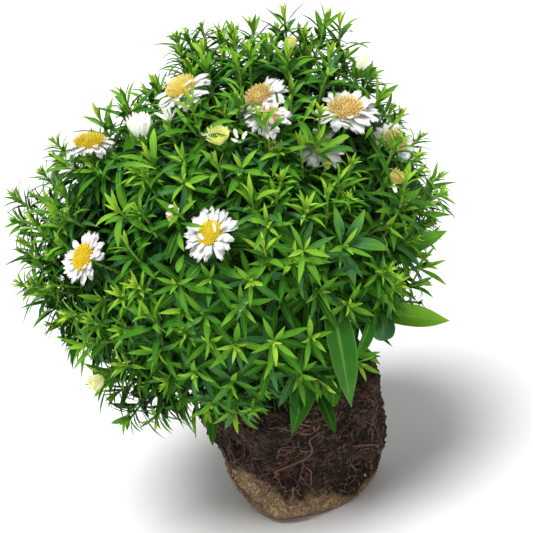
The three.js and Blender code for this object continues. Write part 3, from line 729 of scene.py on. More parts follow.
def closedMaterial():
    t = ShaderTree("closedHead")
    u, v = t.surfacePlace()
    place, warm = t.objectPlace(), t.attribute("age")
    line = t.between(abs(t.fraction(u * 3.0 + 0.5) - 0.5), 0.34, 0.5)
    colour = t.ramp(warm * 0.7 + (t.noise(place, 130.0) - 0.5) * 0.1,
                    [(0.0, closedPaint["white"]), (0.45, closedPaint["cream"]),
                     (0.68, closedPaint["bud"]), (0.85, closedPaint["tan"])])
    # Darker lines along the petals: painted shade in their creases
    colour = t.mix(line * (warm * 0.3 + 0.2), colour, closedPaint["paintedShade"])
    # Darker petal edges: painted shade where the petals overlap
    colour = t.mix(t.between(abs(u - 0.5), 0.34, 0.5) * (warm * 0.5 + 0.2), colour, closedPaint["paintedShade"])
    colour = t.mix((1 - t.between(v, 0.0, 0.3)) * (warm * 0.5 + 0.08), colour, closedPaint["bud"])
    return t.finish(colour=colour, roughness=closedPaint["roughness"] + (t.noise(place, 260.0) - 0.5) * 0.15,
                    # A faint emission paints light onto the closed heads, whose petals shade one another; it
                    # is yellower on the warm heads
                    glowColour=t.mix(t.between(warm, 0.2, 0.6), closedPaint["white"], closedPaint["shade"]),
                    glow=closedPaint["glow"],
                    normal=t.bump(0.6 - line * 0.5, 0.4, 0.0003))


soilPaint = {"black": (0.004, 0.0025, 0.002, 1), "brown": (0.026, 0.014, 0.009, 1),
             "crumb": (0.13, 0.075, 0.05, 1), "felt": (0.55, 0.39, 0.22, 1),
             "feltDark": (0.33, 0.215, 0.11, 1), "roughness": 0.85, "gloss": 0.25}


def soilMaterial():
    t = ShaderTree("soil")
    place, felt = t.objectPlace(), t.attribute("tone")
    coarse, fine = t.noise(place, 70.0, 6.0, 0.65), t.noise(place, 420.0, 4.0, 0.6)
    threads = t.add("ShaderNodeTexNoise", {}, {"Vector": place, "Scale": 150.0, "Detail": 4.0,
                                               "Distortion": 2.5}, "Fac")
    colour = t.ramp(coarse * 0.5 + fine * 0.5, [(0.4, soilPaint["black"]), (0.5, soilPaint["brown"]),
                                                (0.62, soilPaint["crumb"])])
    strand = 1 - t.between(abs(threads - 0.5), 0.0, 0.035)
    colour = t.mix(strand * 0.35, colour, soilPaint["crumb"])
    cover = t.between(felt + (coarse - 0.5) * 1.1, 0.35, 0.8)
    pale = t.mix(t.between(threads, 0.4, 0.62), soilPaint["feltDark"], soilPaint["felt"])
    colour = t.mix(cover * 0.9, colour, pale)
    height = coarse + fine * 0.7 + strand * 0.4
    return t.finish(colour=colour, roughness=soilPaint["roughness"] + (fine - 0.5) * 0.2,
                    gloss=soilPaint["gloss"], normal=t.bump(height, 1.0, 0.0024))


rootPaint = {"red": (0.095, 0.04, 0.028, 1), "tan": (0.28, 0.15, 0.1, 1), "roughness": 0.75}


def rootMaterial():
    t = ShaderTree("root")
    u, v = t.surfacePlace()
    place = t.objectPlace()
    mottle = t.noise(place, 240.0)
    colour = t.mix(t.attribute("tone") + (mottle - 0.5) * 0.5, rootPaint["red"], rootPaint["tan"])
    rings = abs(t.fraction(v * 30.0 + u) - 0.5)
    return t.finish(colour=colour, roughness=rootPaint["roughness"] + (mottle - 0.5) * 0.2,
                    normal=t.bump(mottle + rings * 0.3, 0.4, 0.0003))


perlitePaint = {"white": (0.78, 0.74, 0.68, 1), "grey": (0.45, 0.4, 0.35, 1), "roughness": 0.8}


def perliteMaterial():
    t = ShaderTree("perlite")
    grain = t.noise(t.objectPlace(), 800.0)
    return t.finish(colour=t.mix(grain, perlitePaint["grey"], perlitePaint["white"]),
                    roughness=perlitePaint["roughness"] + (grain - 0.5) * 0.2,
                    normal=t.bump(grain, 0.6, 0.0003))


leaf, stemSkin = leafMaterial(), stemMaterial()
petal, disc, closed = petalMaterial(), discMaterial(), closedMaterial()
soil, rootSkin, perlite = soilMaterial(), rootMaterial(), perliteMaterial()
print("materials made")


# Leafy stems: leaves stand round each shoot at the golden angle, small and upright at the tip. Leaf k stands
# firstGap * k + widening * k * k below the tip, and soon is the number of leaves in which they grow long

styles = {
    "star": {"leaves": 36, "firstGap": 0.5, "widening": 0.044, "shortest": 4.5, "longest": 28, "soon": 6.0,
             "columns": 5, "slim": 0.142, "upright": 14, "spreadAngle": 62, "curl": 22, "curlUneven": 34,
             "droop": 0.3},
    "brush": {"leaves": 58, "firstGap": 0.4, "widening": 0.0165, "shortest": 6.0, "longest": 25, "soon": 17,
              "columns": 3, "slim": 0.1, "upright": 9, "spreadAngle": 64, "curl": 50, "curlUneven": 36,
              "droop": 0.3},
    "spear": {"leaves": 32, "firstGap": 1.1, "widening": 0.04, "shortest": 8, "longest": 28, "soon": 6.0,
              "columns": 5, "slim": 0.15, "upright": 7, "spreadAngle": 56, "curl": 22, "curlUneven": 34,
              "droop": 0.25},
}
leafWidths = {"extra": 0.7, "narrowest": 1.5, "widest": 5.4}
# The inner leaves take age 1.0 and so the darkest green: painted shade for the inside of the bush
innerPlan = {"start": 60, "branchStart": 40, "gap": 2.4, "from": 0.3, "length": 36, "bareShare": 0.45,
             "width": 6.0, "angle": 62, "age": 1.0}
stemPlan = {"radius": 1.9, "branchRadius": 1.3, "tipRadius": 0.8, "sides": 5, "mainSides": 7, "steps": 10}
anyTurn = 6.28  # the range of random turns of leaves and petals, in radians


class Track:
    def __init__(self, path, samples=40):
        self.points = np.array([path(i / samples) for i in range(samples + 1)], float)
        pieces = np.linalg.norm(np.diff(self.points, axis=0), axis=1)
        self.lengths = np.concatenate([[0], np.cumsum(pieces)])
        self.total = self.lengths[-1]

    def placeAt(self, distances):
        return np.stack([np.interp(distances, self.lengths, self.points[:, k]) for k in range(3)], axis=-1)

    def at(self, distances, step=1.5):
        return self.placeAt(distances), unit(self.placeAt(distances + step) - self.placeAt(distances - step))


def addShoot(store, track, draw, style, size=1.0, hue=0.0, skip=0):
    plan = styles[style]
    k = np.arange(skip, plan["leaves"])
    back = (plan["firstGap"] * k + plan["widening"] * k ** 2) * size
    k, back = k[back < track.total - 2], back[back < track.total - 2]
    base, axis = track.at(track.total - back)
    grown = 1 - np.exp(-((k + 0.3) / plan["soon"]) ** 1.2)
    many = len(k)
    out = roundTheAxis(axis, k * goldenAngle + draw.uniform(0, anyTurn) + draw.uniform(-0.2, 0.2, many))
    length = (plan["shortest"] + (plan["longest"] - plan["shortest"]) * grown) * size
    length = length * draw.uniform(0.8, 1.15, many)
    width = length * plan["slim"] + leafWidths["extra"]
    width = np.clip(width, leafWidths["narrowest"], leafWidths["widest"]) * draw.uniform(0.85, 1.15, many)
    lean = plan["upright"] + plan["spreadAngle"] * grown + draw.uniform(-10, 10, many)
    curl = plan["curl"] * (0.3 + grown) + plan["curlUneven"] * draw.uniform(-0.6, 1, many)
    droop = plan["droop"] * grown * draw.uniform(0, 1, many)
    p = blades(draw, base, axis, out, length, width, lean, curl, droop, twist=0.4, phase=anyTurn,
               fold=(-0.08, 0.08))
    p["fold"] = 0.7 - 0.4 * grown + p["fold"]
    grids, kept = settle(p, dict(leafForm, columns=plan["columns"]))
    # Leaves further down a shoot get a higher age and a darker green, partly as they are older and partly as
    # painted shade
    age = 0.95 * (1 - np.exp(-k / (plan["soon"] * 1.5))) + 0.006 * k + hue
    store.add(grids, age=age[kept], tone=draw.uniform(-1, 1, many)[kept])


def addInnerLeaves(store, track, draw, start):
    places = np.arange(track.total * innerPlan["from"], track.total - start, innerPlan["gap"])
    many = len(places)
    if not many:
        return
    base, axis = track.at(places)
    out = roundTheAxis(axis, np.arange(many) * goldenAngle + draw.uniform(0, anyTurn))
    offset = (base - np.array(canopy["centre"])) / np.array(canopy["reach"])
    length = innerPlan["length"] * draw.uniform(0.85, 1.2, many)
    length = length * np.where(onBareSide(*offset.T), innerPlan["bareShare"], 1.0)
    width = innerPlan["width"] * draw.uniform(0.85, 1.15, many)
    lean = innerPlan["angle"] + draw.uniform(-15, 15, many)
    p = blades(draw, base, axis, out, length, width, lean, draw.uniform(5, 50, many),
               draw.uniform(0.1, 0.5, many), twist=0.4, phase=anyTurn, fold=(0.25, 0.5))
    grids, kept = settle(p, dict(leafForm, rows=6, columns=3))
    # age 1.0 paints these leaves in the darkest green, as painted shade inside the bush
    store.add(grids, age=innerPlan["age"], tone=draw.uniform(-1, 1, many)[kept])


# Large leaves that hang over the rim or stand out of the bush: points along each, width and age. face is
# where a leaf's upper side looks, tone above 0 makes it greyer, partly as painted sheen, and glossier, and
# a pointed one is widest at the middle
largeLeaves = named("along width age", [
    ([(37, -70, 168), (39, -130, 180), (34, -132, 132), (35, -84, 91)], 18, 0.68, {"pointed": True}),
    ([(60, -62, 146), (66, -90, 156), (54, -92, 136), (41, -80, 118)], 9.5, 0.65),
    ([(42, -56, 122), (46, -82, 132), (54, -82, 120), (60, -70, 108)], 6.5, 0.55),
    ([(14, -50, 120), (16, -86, 130), (8, -84, 104), (-6, -68, 75)], 17, 0.85, {"pointed": True}),
    ([(20, -60, 138), (21, -94, 142), (19, -88, 118), (18, -76, 98)], 9.5, 0.66, {"pointed": True}),
    ([(28, -54, 122), (29, -88, 132), (27, -84, 108), (25, -72, 89)], 11, 0.85),
    ([(23, -80, 115), (25, -84, 111), (27, -83, 106), (28, -80, 101)], 6.5, -0.3, {"face": (0.1, -1, 0.2)}),
    ([(68, -50, 141), (70, -64, 138), (68, -66, 128), (64, -58, 119)], 14, 0.8,
     {"face": (0.1, -1, 0.2), "tone": 0.9}),
    ([(-16, -54, 124), (-16, -88, 134), (-14, -84, 122), (-13, -76, 109)], 9, 0.5),
    ([(-40, -48, 112), (-40, -70, 118), (-30, -74, 108), (-17, -70, 95)], 8, 0.75),
    ([(-62, -30, 108), (-70, -42, 112), (-72, -46, 98), (-66, -44, 80)], 8, 0.6),
    ([(-58, -40, 104), (-64, -54, 104), (-64, -58, 96), (-66, -61, 86)], 3.5, 0.3),
    ([(58, -30, 131), (76, -50, 133), (96, -48, 122), (113, -35, 111)], 15, 0.3,
     {"face": (0.2, -1, 0.5), "tone": 0.3, "pointed": True}),
    ([(83, -66, 171), (90, -76, 182), (106, -70, 181), (121, -54, 178)], 11, 0.42,
     {"face": (0.1, -1, 0.6), "tone": 0.7, "pointed": True}),
    ([(82, -62, 167), (91, -74, 174), (106, -68, 180), (118, -52, 182)], 5.5, 0.5),
    ([(82, -28, 158), (86, -54, 168), (88, -56, 158), (87, -50, 149)], 6.5, 0.6),
    ([(82, -8, 180), (100, -28, 196), (120, -26, 202), (138.5, -20, 197)], 5.5, 0.75),
    ([(46, -76, 166), (56, -100, 180), (70, -100, 166), (75, -90, 147)], 7.5, 0.5),
    ([(52, -70, 172), (62, -96, 190), (79, -96, 180), (81, -84, 152)], 7.5, 0.55),
    ([(42, -90, 182), (38, -116, 195), (18, -120, 190), (4, -112, 175)], 5.5, 0.5),
    ([(42, -88, 172), (34, -110, 185), (18, -110, 178), (8, -100, 161)], 5.5, 0.6),
    ([(48, -84, 166), (42, -106, 178), (32, -104, 168), (26, -92, 153)], 5.5, 0.45),
    ([(51, -104, 206), (51, -119, 210), (52, -120, 222), (52, -112, 231)], 6, 0.5, {"tone": 0.9}),
    ([(53, -104, 206), (56, -119, 209), (63, -118, 217), (69, -110, 222)], 6.5, 0.45, {"tone": 1.0}),
    ([(54, -104, 204), (60, -119, 206), (71, -116, 202), (78, -105, 192)], 7, 0.42, {"tone": 0.9}),
    ([(51, -104, 202), (52, -120, 200), (52, -114, 184), (52, -100, 168)], 7, 0.5, {"tone": 0.8}),
    ([(0, 58, 112), (6, 82, 118), (10, 84, 100), (8, 76, 78)], 12, 0.6),
    ([(-40, 52, 116), (-52, 72, 120), (-58, 76, 104), (-56, 68, 84)], 11, 0.5),
    ([(46, 48, 114), (62, 66, 118), (66, 70, 102), (62, 64, 84)], 12, 0.65),
])

# Single narrow leaves that arch in front of blooms and between the shoots
coverLeaves = named("along width age", [
    ([(11, -101, 287), (18, -104, 290), (25, -105, 291), (31, -103, 289)], 2.3, 0.8),
    ([(20, -106, 282), (26, -107, 287), (31, -106, 290), (34, -103, 291)], 2.6, 0.3),
    ([(22, -107, 280), (23, -107, 287), (23, -104, 292), (22, -101, 296)], 2.6, 0.35),
    ([(27, -104, 279), (31, -107, 283), (35, -108, 285), (37, -106, 285)], 2.6, 0.45),
    ([(19, -98, 291), (20, -105, 291), (22, -111, 288), (23, -114, 284)], 2.3, 0.55),
    ([(90, -87, 247), (96, -87, 250), (101, -84, 252), (103, -80, 253)], 2.6, 0.4),
    ([(103, -76, 240), (104, -79, 246), (104, -80, 251), (102, -81, 255)], 2.3, 0.5),
    ([(96, -79, 257), (100, -84, 255), (102, -88, 251), (101, -90, 247)], 2.0, 0.6),
    ([(44, -92, 280), (45, -99, 277), (46, -105, 273), (46, -109, 268)], 3.3, 0.5),
    ([(20, -77, 291), (25, -82, 291), (29, -85, 290), (32, -86, 288)], 2.6, 0.45),
    ([(11, -90, 285), (18, -93, 288), (25, -94, 288), (30, -93, 286)], 2.3, 0.8),
    ([(36, -69, 294), (37, -77, 294), (36, -83, 291), (35, -86, 287)], 1.7, 0.6),
    ([(39, -71, 292), (41, -79, 292), (43, -84, 289), (43, -86, 283)], 2.0, 0.75),
    ([(47, -85, 275), (51, -82, 279), (55, -79, 283), (59, -76, 285)], 3.3, 0.25),
    ([(50, -102, 259), (62, -107, 265), (69, -104, 266), (71, -95, 262)], 3.6, 0.35),
    ([(52, -101, 258), (63, -108, 261), (70, -107, 259), (71, -99, 253)], 3.3, 0.5),
    ([(74, -52, 285), (81, -55, 285), (87, -57, 280), (89, -56, 275)], 2.6, 0.7),
    ([(70, -52, 287), (71, -59, 286), (70, -66, 283), (69, -71, 280)], 3.3, 0.6),
    ([(67, -86, 271), (71, -89, 270), (74, -92, 268), (75, -92, 265)], 1.6, 0.7),
    ([(81, -75, 261), (85, -83, 251), (88, -90, 238), (89, -95, 228)], 4.6, 0.8),
    ([(81, -81, 255), (83, -81, 258), (86, -80, 260), (87, -79, 261)], 2.6, 0.3),
    ([(95, -58, 258), (101, -51, 263), (106, -42, 267), (108, -35, 270)], 3.3, 0.6),
    ([(102, -66, 252), (105, -71, 251), (106, -74, 248), (105, -76, 245)], 1.7, 0.7),
    ([(-14, -92, 284), (-18, -90, 293), (-21, -83, 299), (-23, -75, 301)], 2.6, 0.35),
    ([(-13, -93, 283), (-5, -100, 291), (3, -100, 292), (10, -95, 287)], 2.6, 0.35),
    ([(-24, -67, 302), (-20, -73, 304), (-15, -77, 304), (-11, -80, 303)], 2.6, 0.7),
    ([(6, -52, 307), (10, -65, 308), (14, -75, 303), (16, -81, 295)], 1.7, 0.35),
    ([(-55, -35, 294), (-49, -50, 301), (-40, -63, 303), (-30, -72, 299)], 2.6, 0.6),
    ([(-41, -97, 276), (-40, -95, 284), (-39, -91, 290), (-37, -86, 294)], 4.6, 0.25),
    ([(-64, -82, 276), (-59, -95, 281), (-50, -102, 280), (-41, -103, 274)], 3.0, 0.3),
    ([(-24, -98, 271), (-26, -98, 277), (-27, -96, 281), (-28, -93, 284)], 2.0, 0.3),
    ([(-11, -97, 284), (-6, -102, 285), (-1, -104, 284), (3, -105, 283)], 2.3, 0.6),
    ([(9, -124, 240), (4, -131, 241), (-2, -133, 240), (-7, -131, 237)], 2.6, 0.5),
    ([(-35, -120, 244), (-31, -126, 244), (-27, -129, 243), (-22, -129, 241)], 2.6, 0.4),
    ([(-37, -120, 239), (-38, -125, 237), (-38, -128, 234), (-37, -128, 230)], 3.3, 0.45),
    ([(13, -124, 232), (9, -129, 236), (4, -130, 239), (-1, -128, 240)], 3.0, 0.25),
    ([(-1, -112, 249), (-7, -117, 248), (-15, -119, 247), (-21, -120, 245)], 2.0, 0.7),
    ([(-23, -125, 219), (-19, -131, 216), (-13, -134, 211), (-9, -133, 207)], 4.6, 0.6),
    ([(-29, -122, 219), (-34, -126, 217), (-38, -128, 215), (-40, -126, 212)], 5.9, 0.6),
    ([(-38, -121, 226), (-41, -126, 224), (-43, -128, 221), (-44, -126, 218)], 4.0, 0.45),
])


leafPlan = {"pointedUpTo": 8, "fade": (0.3, -0.1)}
basalPlan = {"start": 0.18, "reach": 56, "rise": 46, "width": 8.5,
             "bend": [(0, 0), (0.28, 0.04), (0.55, -0.1), (0.74, -0.32), (0.84, -0.6)]}  # out and up


def ribbon(draw, middle, outward, width, form):
    run = unit(np.gradient(middle, axis=1))
    side = -unit(np.cross(run, outward))
    phase = np.array([draw.uniform(0, 6)])
    return spread(middle, run, side, np.array([width]), phase, form, basalForm["columns"])


def addLargeLeaf(store, entry, draw):
    path, rows = bezier(*map(Vector, entry["along"])), basalForm["rows"]
    isPointed = entry["width"] <= leafPlan["pointedUpTo"] or "pointed" in entry
    middle = np.array([path(i / (rows - 1)) for i in range(rows)], float)[None]
    outward = unit(middle * np.array([1, 1, 0]) + np.array([0, 0, 45]) + draw.uniform(-20, 20, 3))
    if "face" in entry:
        outward = np.array([[entry["face"]]], float)
    grid = ribbon(draw, middle, outward, entry["width"], leafForm if isPointed else basalForm)
    fade = np.linspace(*leafPlan["fade"], rows)[None, :, None]
    tone = draw.uniform(-0.5, 0.5)
    store.add(grid, age=entry["age"] + fade, tone=entry.get("tone", tone))


def addBasalLeaf(store, s, draw):
    track = Track(s["main"])
    start = track.placeAt(np.array([track.total * basalPlan["start"]]))[0]
    out, rise = np.array(basalPlan["bend"]).T
    knots = start + np.outer(out * basalPlan["reach"], s["outward"]) + np.outer(rise * basalPlan["rise"], up)
    t = np.linspace(0, len(knots) - 1, basalForm["rows"])
    middle = np.stack([np.interp(t, range(len(knots)), knots[:, i]) for i in range(3)], axis=-1)
    grid = ribbon(draw, smooth(middle)[None], np.array([0.0, 0, 1.0]), basalPlan["width"], basalForm)
    store.add(grid, age=draw.uniform(0.7, 0.95), tone=draw.uniform(-0.5, 0.5))


bractPlan = {"cup": [(1.3, -6.2), (3.0, -5.2), (4.5, -3.6), (5.1, -1.6), (5.2, -0.4)],  # radius and height
             "closedGirth": 7, "count": 24, "length": 6.2, "width": 1.9, "rows": 3, "first": (3.2, -4.6),
             "step": (0.8, 1.3), "lean": 58, "leanStep": 14.0, "openCurl": (-25, 20),
             "closedCurl": (-50, -25)}


def addCup(store, head, draw):
    isOpen = head["kind"] == "open"
    share = head["size"] if isOpen else head["girth"] / bractPlan["closedGirth"]
    place, axis = placeAndAxis(head)
    ring = roundTheAxis(axis, evenTurns(12))
    cup = [place + axis * high + ring * wide * share for wide, high in bractPlan["cup"]]
    store.add(np.stack(cup), age=0.45, ring=True)
    k = np.arange(bractPlan["count"])
    row = (k % bractPlan["rows"])[:, None]
    out = roundTheAxis(axis, k * goldenAngle)
    (radius, high), (wider, higher) = bractPlan["first"], bractPlan["step"]
    base = place + axis * (high + row * higher) + out * (radius + row * wider) * share
    length = bractPlan["length"] * share * draw.uniform(0.85, 1.15, len(k))
    curl = draw.uniform(*bractPlan["openCurl" if isOpen else "closedCurl"], len(k))
    p = blades(draw, base, axis, out, length, np.full(len(k), bractPlan["width"]) * share,
               bractPlan["lean"] - row[:, 0] * bractPlan["leanStep"], curl, twist=0)
    store.add(bendBlades(p, dict(leafForm, rows=5, columns=3)), age=0.5, tone=draw.uniform(-1, 1, len(k)))


def addSmallHead(store, track, draw, small):
    many = small["petals"]
    place, axis = track.at(np.full(many, track.total))
    out = roundTheAxis(axis, np.arange(many) * goldenAngle + draw.uniform(0, 6))
    base = place + out * draw.uniform(0.3, 2.2, (many, 1))
    length = small["long"] * draw.uniform(0.8, 1.1, many)
    width = draw.uniform(2.4, 3.4, many)
    lean = small["spread"] + draw.uniform(-18, 18, many)
    p = blades(draw, base, axis, out, length, width, lean, draw.uniform(-10, 20, many), fold=(0, 0.4))
    store.add(bendBlades(p, petalForm), age=small["warm"], slot=2)


def addStemTube(store, track, isMain):
    line = track.placeAt(np.linspace(0, track.total, stemPlan["steps"]))
    radii = np.linspace(stemPlan["radius" if isMain else "branchRadius"], stemPlan["tipRadius"], len(line))
    store.add(tube(line, radii, stemPlan["mainSides" if isMain else "sides"]), slot=1, ring=True)


def nearestStem(point):
    return min(stems, key=lambda s: (Vector(point) - s["main"](0.35)).length)["index"]


def makeLeafyStem(s, extras):
    draw = np.random.default_rng(400 + s["index"])
    store = Store()
    for end in s["ends"] + s["extra"]:
        track = Track(end["path"])
        isMain = end is s["ends"][0]
        addStemTube(store, track, isMain)
        hue = draw.uniform(-0.1, 0.12)
        if "small" in end:
            addSmallHead(store, track, draw, end["small"])
            addShoot(store, track, draw, "star", size=0.8, hue=hue + 0.3, skip=8)
        elif "style" in end:
            share = quietShoots.get(end.get("index"), 1.0)
            addShoot(store, track, draw, end["style"], size=draw.uniform(0.86, 1.08) * share, hue=hue)
        else:
            addCup(store, end, draw)
            addShoot(store, track, draw, "star", size=0.9, hue=hue + 0.15, skip=8)
        addInnerLeaves(store, track, draw, innerPlan["start" if isMain else "branchStart"])
    isBare = s["outward"].x > 0.6 and s["outward"].y < 0.5
    if s["direction"].z < -0.1 and not isBare:
        addBasalLeaf(store, s, draw)
    for entry in extras:
        addLargeLeaf(store, entry, draw)
    name = f"{s['index'] + 1:02d}"
    return dress(store, f"leafyStem{name}", [leaf, stemSkin, closed], f"leafy_stem_{name}")


def makeLeafyStems():
    carried = {}
    for entry in largeLeaves + coverLeaves:
        carried.setdefault(nearestStem(entry["along"][0]), []).append(entry)
    return [makeLeafyStem(s, carried.get(s["index"], [])) for s in stems]


print("leafy stems:", sum(len(p.data.polygons) for p in makeLeafyStems()) * 2, "triangles")


# Blooms: petals stand in layers round a dome of florets

bloomPlan = {"discHeight": 3.4, "inner": 0.62, "florets": 200, "missing": 0.05,
             "looseWidth": 2.6, "looseRise": 1.8,
             "layers": named("petals length angle lift width", [
                 (22, 1.0, 84, 0.4, 4.6), (18, 0.94, 77, 1.2, 4.3), (8, 0.68, 62, 2.0, 3.2)])}
freshFloret = {"radii": [0.4, 0.52, 0.56, 0.4, 0.06], "heights": [0, 0.8, 1.35, 1.75, 1.85], "uneven": 0.05}
longFloret = {"radii": [0.28, 0.36, 0.36, 0.24, 0.04], "heights": [0, 1.3, 2.4, 3.4, 3.9], "uneven": 0.1}


def addPetals(store, head, draw, angle, foot, inner, length, width, lean, curl):
    axis, many = np.array(head["axis"]), len(angle)
    out = roundTheAxis(axis, angle)
    p = blades(draw, foot + out * inner, axis, out, length * draw.uniform(0.82, 1.03, many),
               width * draw.uniform(0.78, 1.15, many), lean + draw.uniform(-7, 8, many),
               draw.uniform(*curl, many), fold=(-0.2, 0.3))
    store.add(bendBlades(p, petalForm), age=head["old"], tone=draw.uniform(-1, 1, many))


def makeRays(head):
    draw = np.random.default_rng(700 + head["index"])
    store = Store()
    (place, axis), size = placeAndAxis(head), head["size"]
    inner = head["disc"] * bloomPlan["inner"]
    reach = skeleton["bloomRadius"] * size * head["petals"] - inner
    turn = draw.uniform(0, anyTurn)
    for layer in bloomPlan["layers"]:
        many = layer["petals"]
        angle = turn + fullTurn * np.arange(many) / many + draw.uniform(-0.13, 0.13, many)
        bare = draw.uniform(0, 1, many) < bloomPlan["missing"]
        for middle, half in head.get("gaps", []):
            bare |= np.abs((angle - middle + math.pi) % fullTurn - math.pi) < half
        turn += math.pi / many
        foot = place + axis * layer["lift"] * size
        addPetals(store, head, draw, angle[~bare], foot, inner, reach * layer["length"],
                  layer["width"] * size, layer["angle"], (-4, 20 + 14 * head["old"] + 2 * head["hang"]))
    for side, share, heading, length in head.get("loose", []):
        foot = place + axis * (bloomPlan["looseRise"] + bloomPlan["discHeight"] * size)
        foot = foot + roundTheAxis(axis, np.array([side])) * share * head["disc"]
        addPetals(store, head, draw, np.array([heading]), foot, 0.0, length, bloomPlan["looseWidth"],
                  lean=84, curl=(0, 12))
    name = f"{head['index'] + 1:02d}"
    return dress(store, f"bloom{name}Rays", [petal], f"bloom_{name}_rays")


def makeDisc(head):
    draw = np.random.default_rng(900 + head["index"])
    store = Store()
    (place, axis), size = placeAndAxis(head), head["size"]
    base = place + axis * 1.4
    wide, tall = head["disc"], bloomPlan["discHeight"] * size
    form = longFloret if head["old"] > 0.4 or "shaggy" in head else freshFloret
    ring = roundTheAxis(axis, evenTurns(16))
    dome = [base + ring * wide * math.sin(a) + axis * tall * math.cos(a) for a in np.linspace(1.62, 0.02, 7)]
    store.add(np.stack(dome), age=head["old"], ring=True)
    many = bloomPlan["florets"]
    k = np.arange(many)
    share = np.sqrt((k + 0.5) / many)
    out = roundTheAxis(axis, k * goldenAngle)
    height = tall * np.sqrt(1 - share ** 2 * 0.96)
    foot = base + out * (share * wide)[:, None] + axis * height[:, None] - axis * 0.5
    run = unit(axis + out * (share * 0.9)[:, None] + draw.normal(0, form["uneven"], (many, 3)))
    loops = loopsRound(run, evenTurns(5))
    scale = ((0.66 + 0.36 * share) * size * draw.uniform(0.85, 1.15, many))[:, None, None]
    rows = [foot[:, None] + run[:, None] * (high * scale) + loops * (radius * scale)
            for radius, high in zip(form["radii"], form["heights"])]
    store.add(np.stack(rows, axis=1), age=head["old"], tone=1 - share + head.get("pale", 0.0), ring=True)
    name = f"{head['index'] + 1:02d}"
    return dress(store, f"bloom{name}Disc", [disc], f"bloom_{name}_disc")


whitePetal = {"rise": 0.6, "from": 0.4, "width": [3.2], "angle": [74.0], "curl": [14.0], "twist": [0.2]}


def makeClosedHead(head):
    draw = np.random.default_rng(1100 + head["index"])
    store = Store()
    (place, axis), girth, tall = placeAndAxis(head), head["girth"], head["height"]
    many = head["petals"]
    k = np.arange(many)
    share = np.sqrt((k + 0.5) / many)
    out = roundTheAxis(axis, k * goldenAngle)
    base = place + axis * 0.2 + out * (girth * 0.5 * share)[:, None]
    length = tall * (0.82 + 0.18 * share) * draw.uniform(0.88, 1.0, many)
    width = np.full(many, girth * head["slim"]) * draw.uniform(0.85, 1.15, many)
    lean = (26 + head["spread"]) * share + draw.uniform(-4, 4, many)
    curl = head["spread"] * 0.5 - 12 + draw.uniform(-6, 8, many)
    p = blades(draw, base, axis, out, length, width, lean, curl, twist=0.2, fold=0.12)
    store.add(bendBlades(p, dict(petalForm, columns=5, rows=7, wave=0.05)),
              age=head["warm"] + 0.1 * draw.uniform(-1, 1, many))
    for angle, length in head.get("white", []):
        out = roundTheAxis(axis, np.array([angle]))
        p = {"base": place + axis * whitePetal["rise"] + out * girth * whitePetal["from"], "axis": axis[None],
             "out": out, "length": np.array([length]), "width": np.array(whitePetal["width"]),
             "angle": np.radians(whitePetal["angle"]), "curl": np.radians(whitePetal["curl"]),
             "droop": np.zeros(1), "twist": np.array(whitePetal["twist"]), "phase": np.zeros(1),
             "fold": np.array([0.1])}
        store.add(bendBlades(p, petalForm))
    name = f"{head['index'] + 1:02d}"
    return dress(store, f"closedHead{name}", [closed], f"closed_head_{name}")


for head in heads:
    if head["kind"] == "open":
        makeRays(head)
        makeDisc(head)
    else:
        makeClosedHead(head)
print("blooms and closed heads made")


# The root ball: compost with crumbs, roots that wind over it, perlite, and pale felt low on one side

ballPlan = {"around": 270, "up": 98, "footRows": 5, "topRows": 9, "grain": 1.9, "lumps": 2.6, "seed": 21,
            "spokes": 26, "roots": 230, "hairs": 620, "crumbs": 2150, "perlite": 9}
feltPlan = {"height": 13, "sideHeight": 42, "side": 192, "sideWidth": 44, "soft": 22,
            "strip": -2, "stripWidth": 5, "stripLow": 40, "stripHigh": 86, "stripSoft": 12, "stripShare": 0.6}
rootPlan = {"lowest": 3, "highest": 92, "step": 2.2, "meanRadius": 55, "thick": (0.25, 0.62),
            "hairThick": (0.14, 0.3)}
wholeTurn = 6.283  # the range of random places round the ball, in radians


def ballSkin(angle, z):
    lump = 2.6 * np.sin(2 * angle + 0.05 * z) + 2 * np.sin(5 * angle - 0.11 * z)
    heights, spokes = np.array([p[1] for p in ballProfile], float), ballPlan["spokes"]
    table = np.array([[2.2 * wobble(i + ring * spokes, 11) if ring else 0.0 for i in range(spokes)]
                      for ring in range(len(heights))])
    row = np.clip(np.interp(z, heights, np.arange(len(heights))), 0, len(heights) - 1.0001)
    column = (angle / fullTurn * spokes) % spokes
    low, left = np.floor(row).astype(int), np.floor(column).astype(int)
    high, right = low + 1, (left + 1) % spokes
    rise, across = row - low, column - left
    rough = ((table[low, left] * (1 - across) + table[low, right] * across) * (1 - rise)
             + (table[high, left] * (1 - across) + table[high, right] * across) * rise)
    return ballRadius(z) + (lump + rough) * np.clip(z / 7, 0, 1)


def grain(points, scale, salt):
    return np.array([noise.fractal(Vector(p) * scale + Vector((salt, 0, 0)), 0.7, 2.1, 4) for p in points])


def polar(radius, angle, z):
    return np.stack([radius * np.cos(angle), radius * np.sin(angle), z + 0.0 * angle], axis=-1)


def onBall(angle, z, lift=0.0):
    return polar(ballSkin(angle, z) + lift, angle, z)


def nearTurn(angle, middle, width):
    away = (np.degrees(angle) - middle + 180) % 360 - 180
    return np.exp(-(away / width) ** 2)


def feltOn(angle, z):
    plan = feltPlan
    limit = plan["height"] + plan["sideHeight"] * nearTurn(angle, plan["side"], plan["sideWidth"])
    limit = limit + 4 * np.sin(3 * angle + 1) + 3 * np.sin(7 * angle)
    low = np.clip((limit - z) / plan["soft"] + 0.5, 0, 1)
    inside = np.clip((z - plan["stripLow"]) / plan["stripSoft"], 0, 1)
    inside = inside * np.clip((plan["stripHigh"] - z) / plan["stripSoft"], 0, 1)
    return np.maximum(low, plan["stripShare"] * nearTurn(angle, plan["strip"], plan["stripWidth"]) * inside)


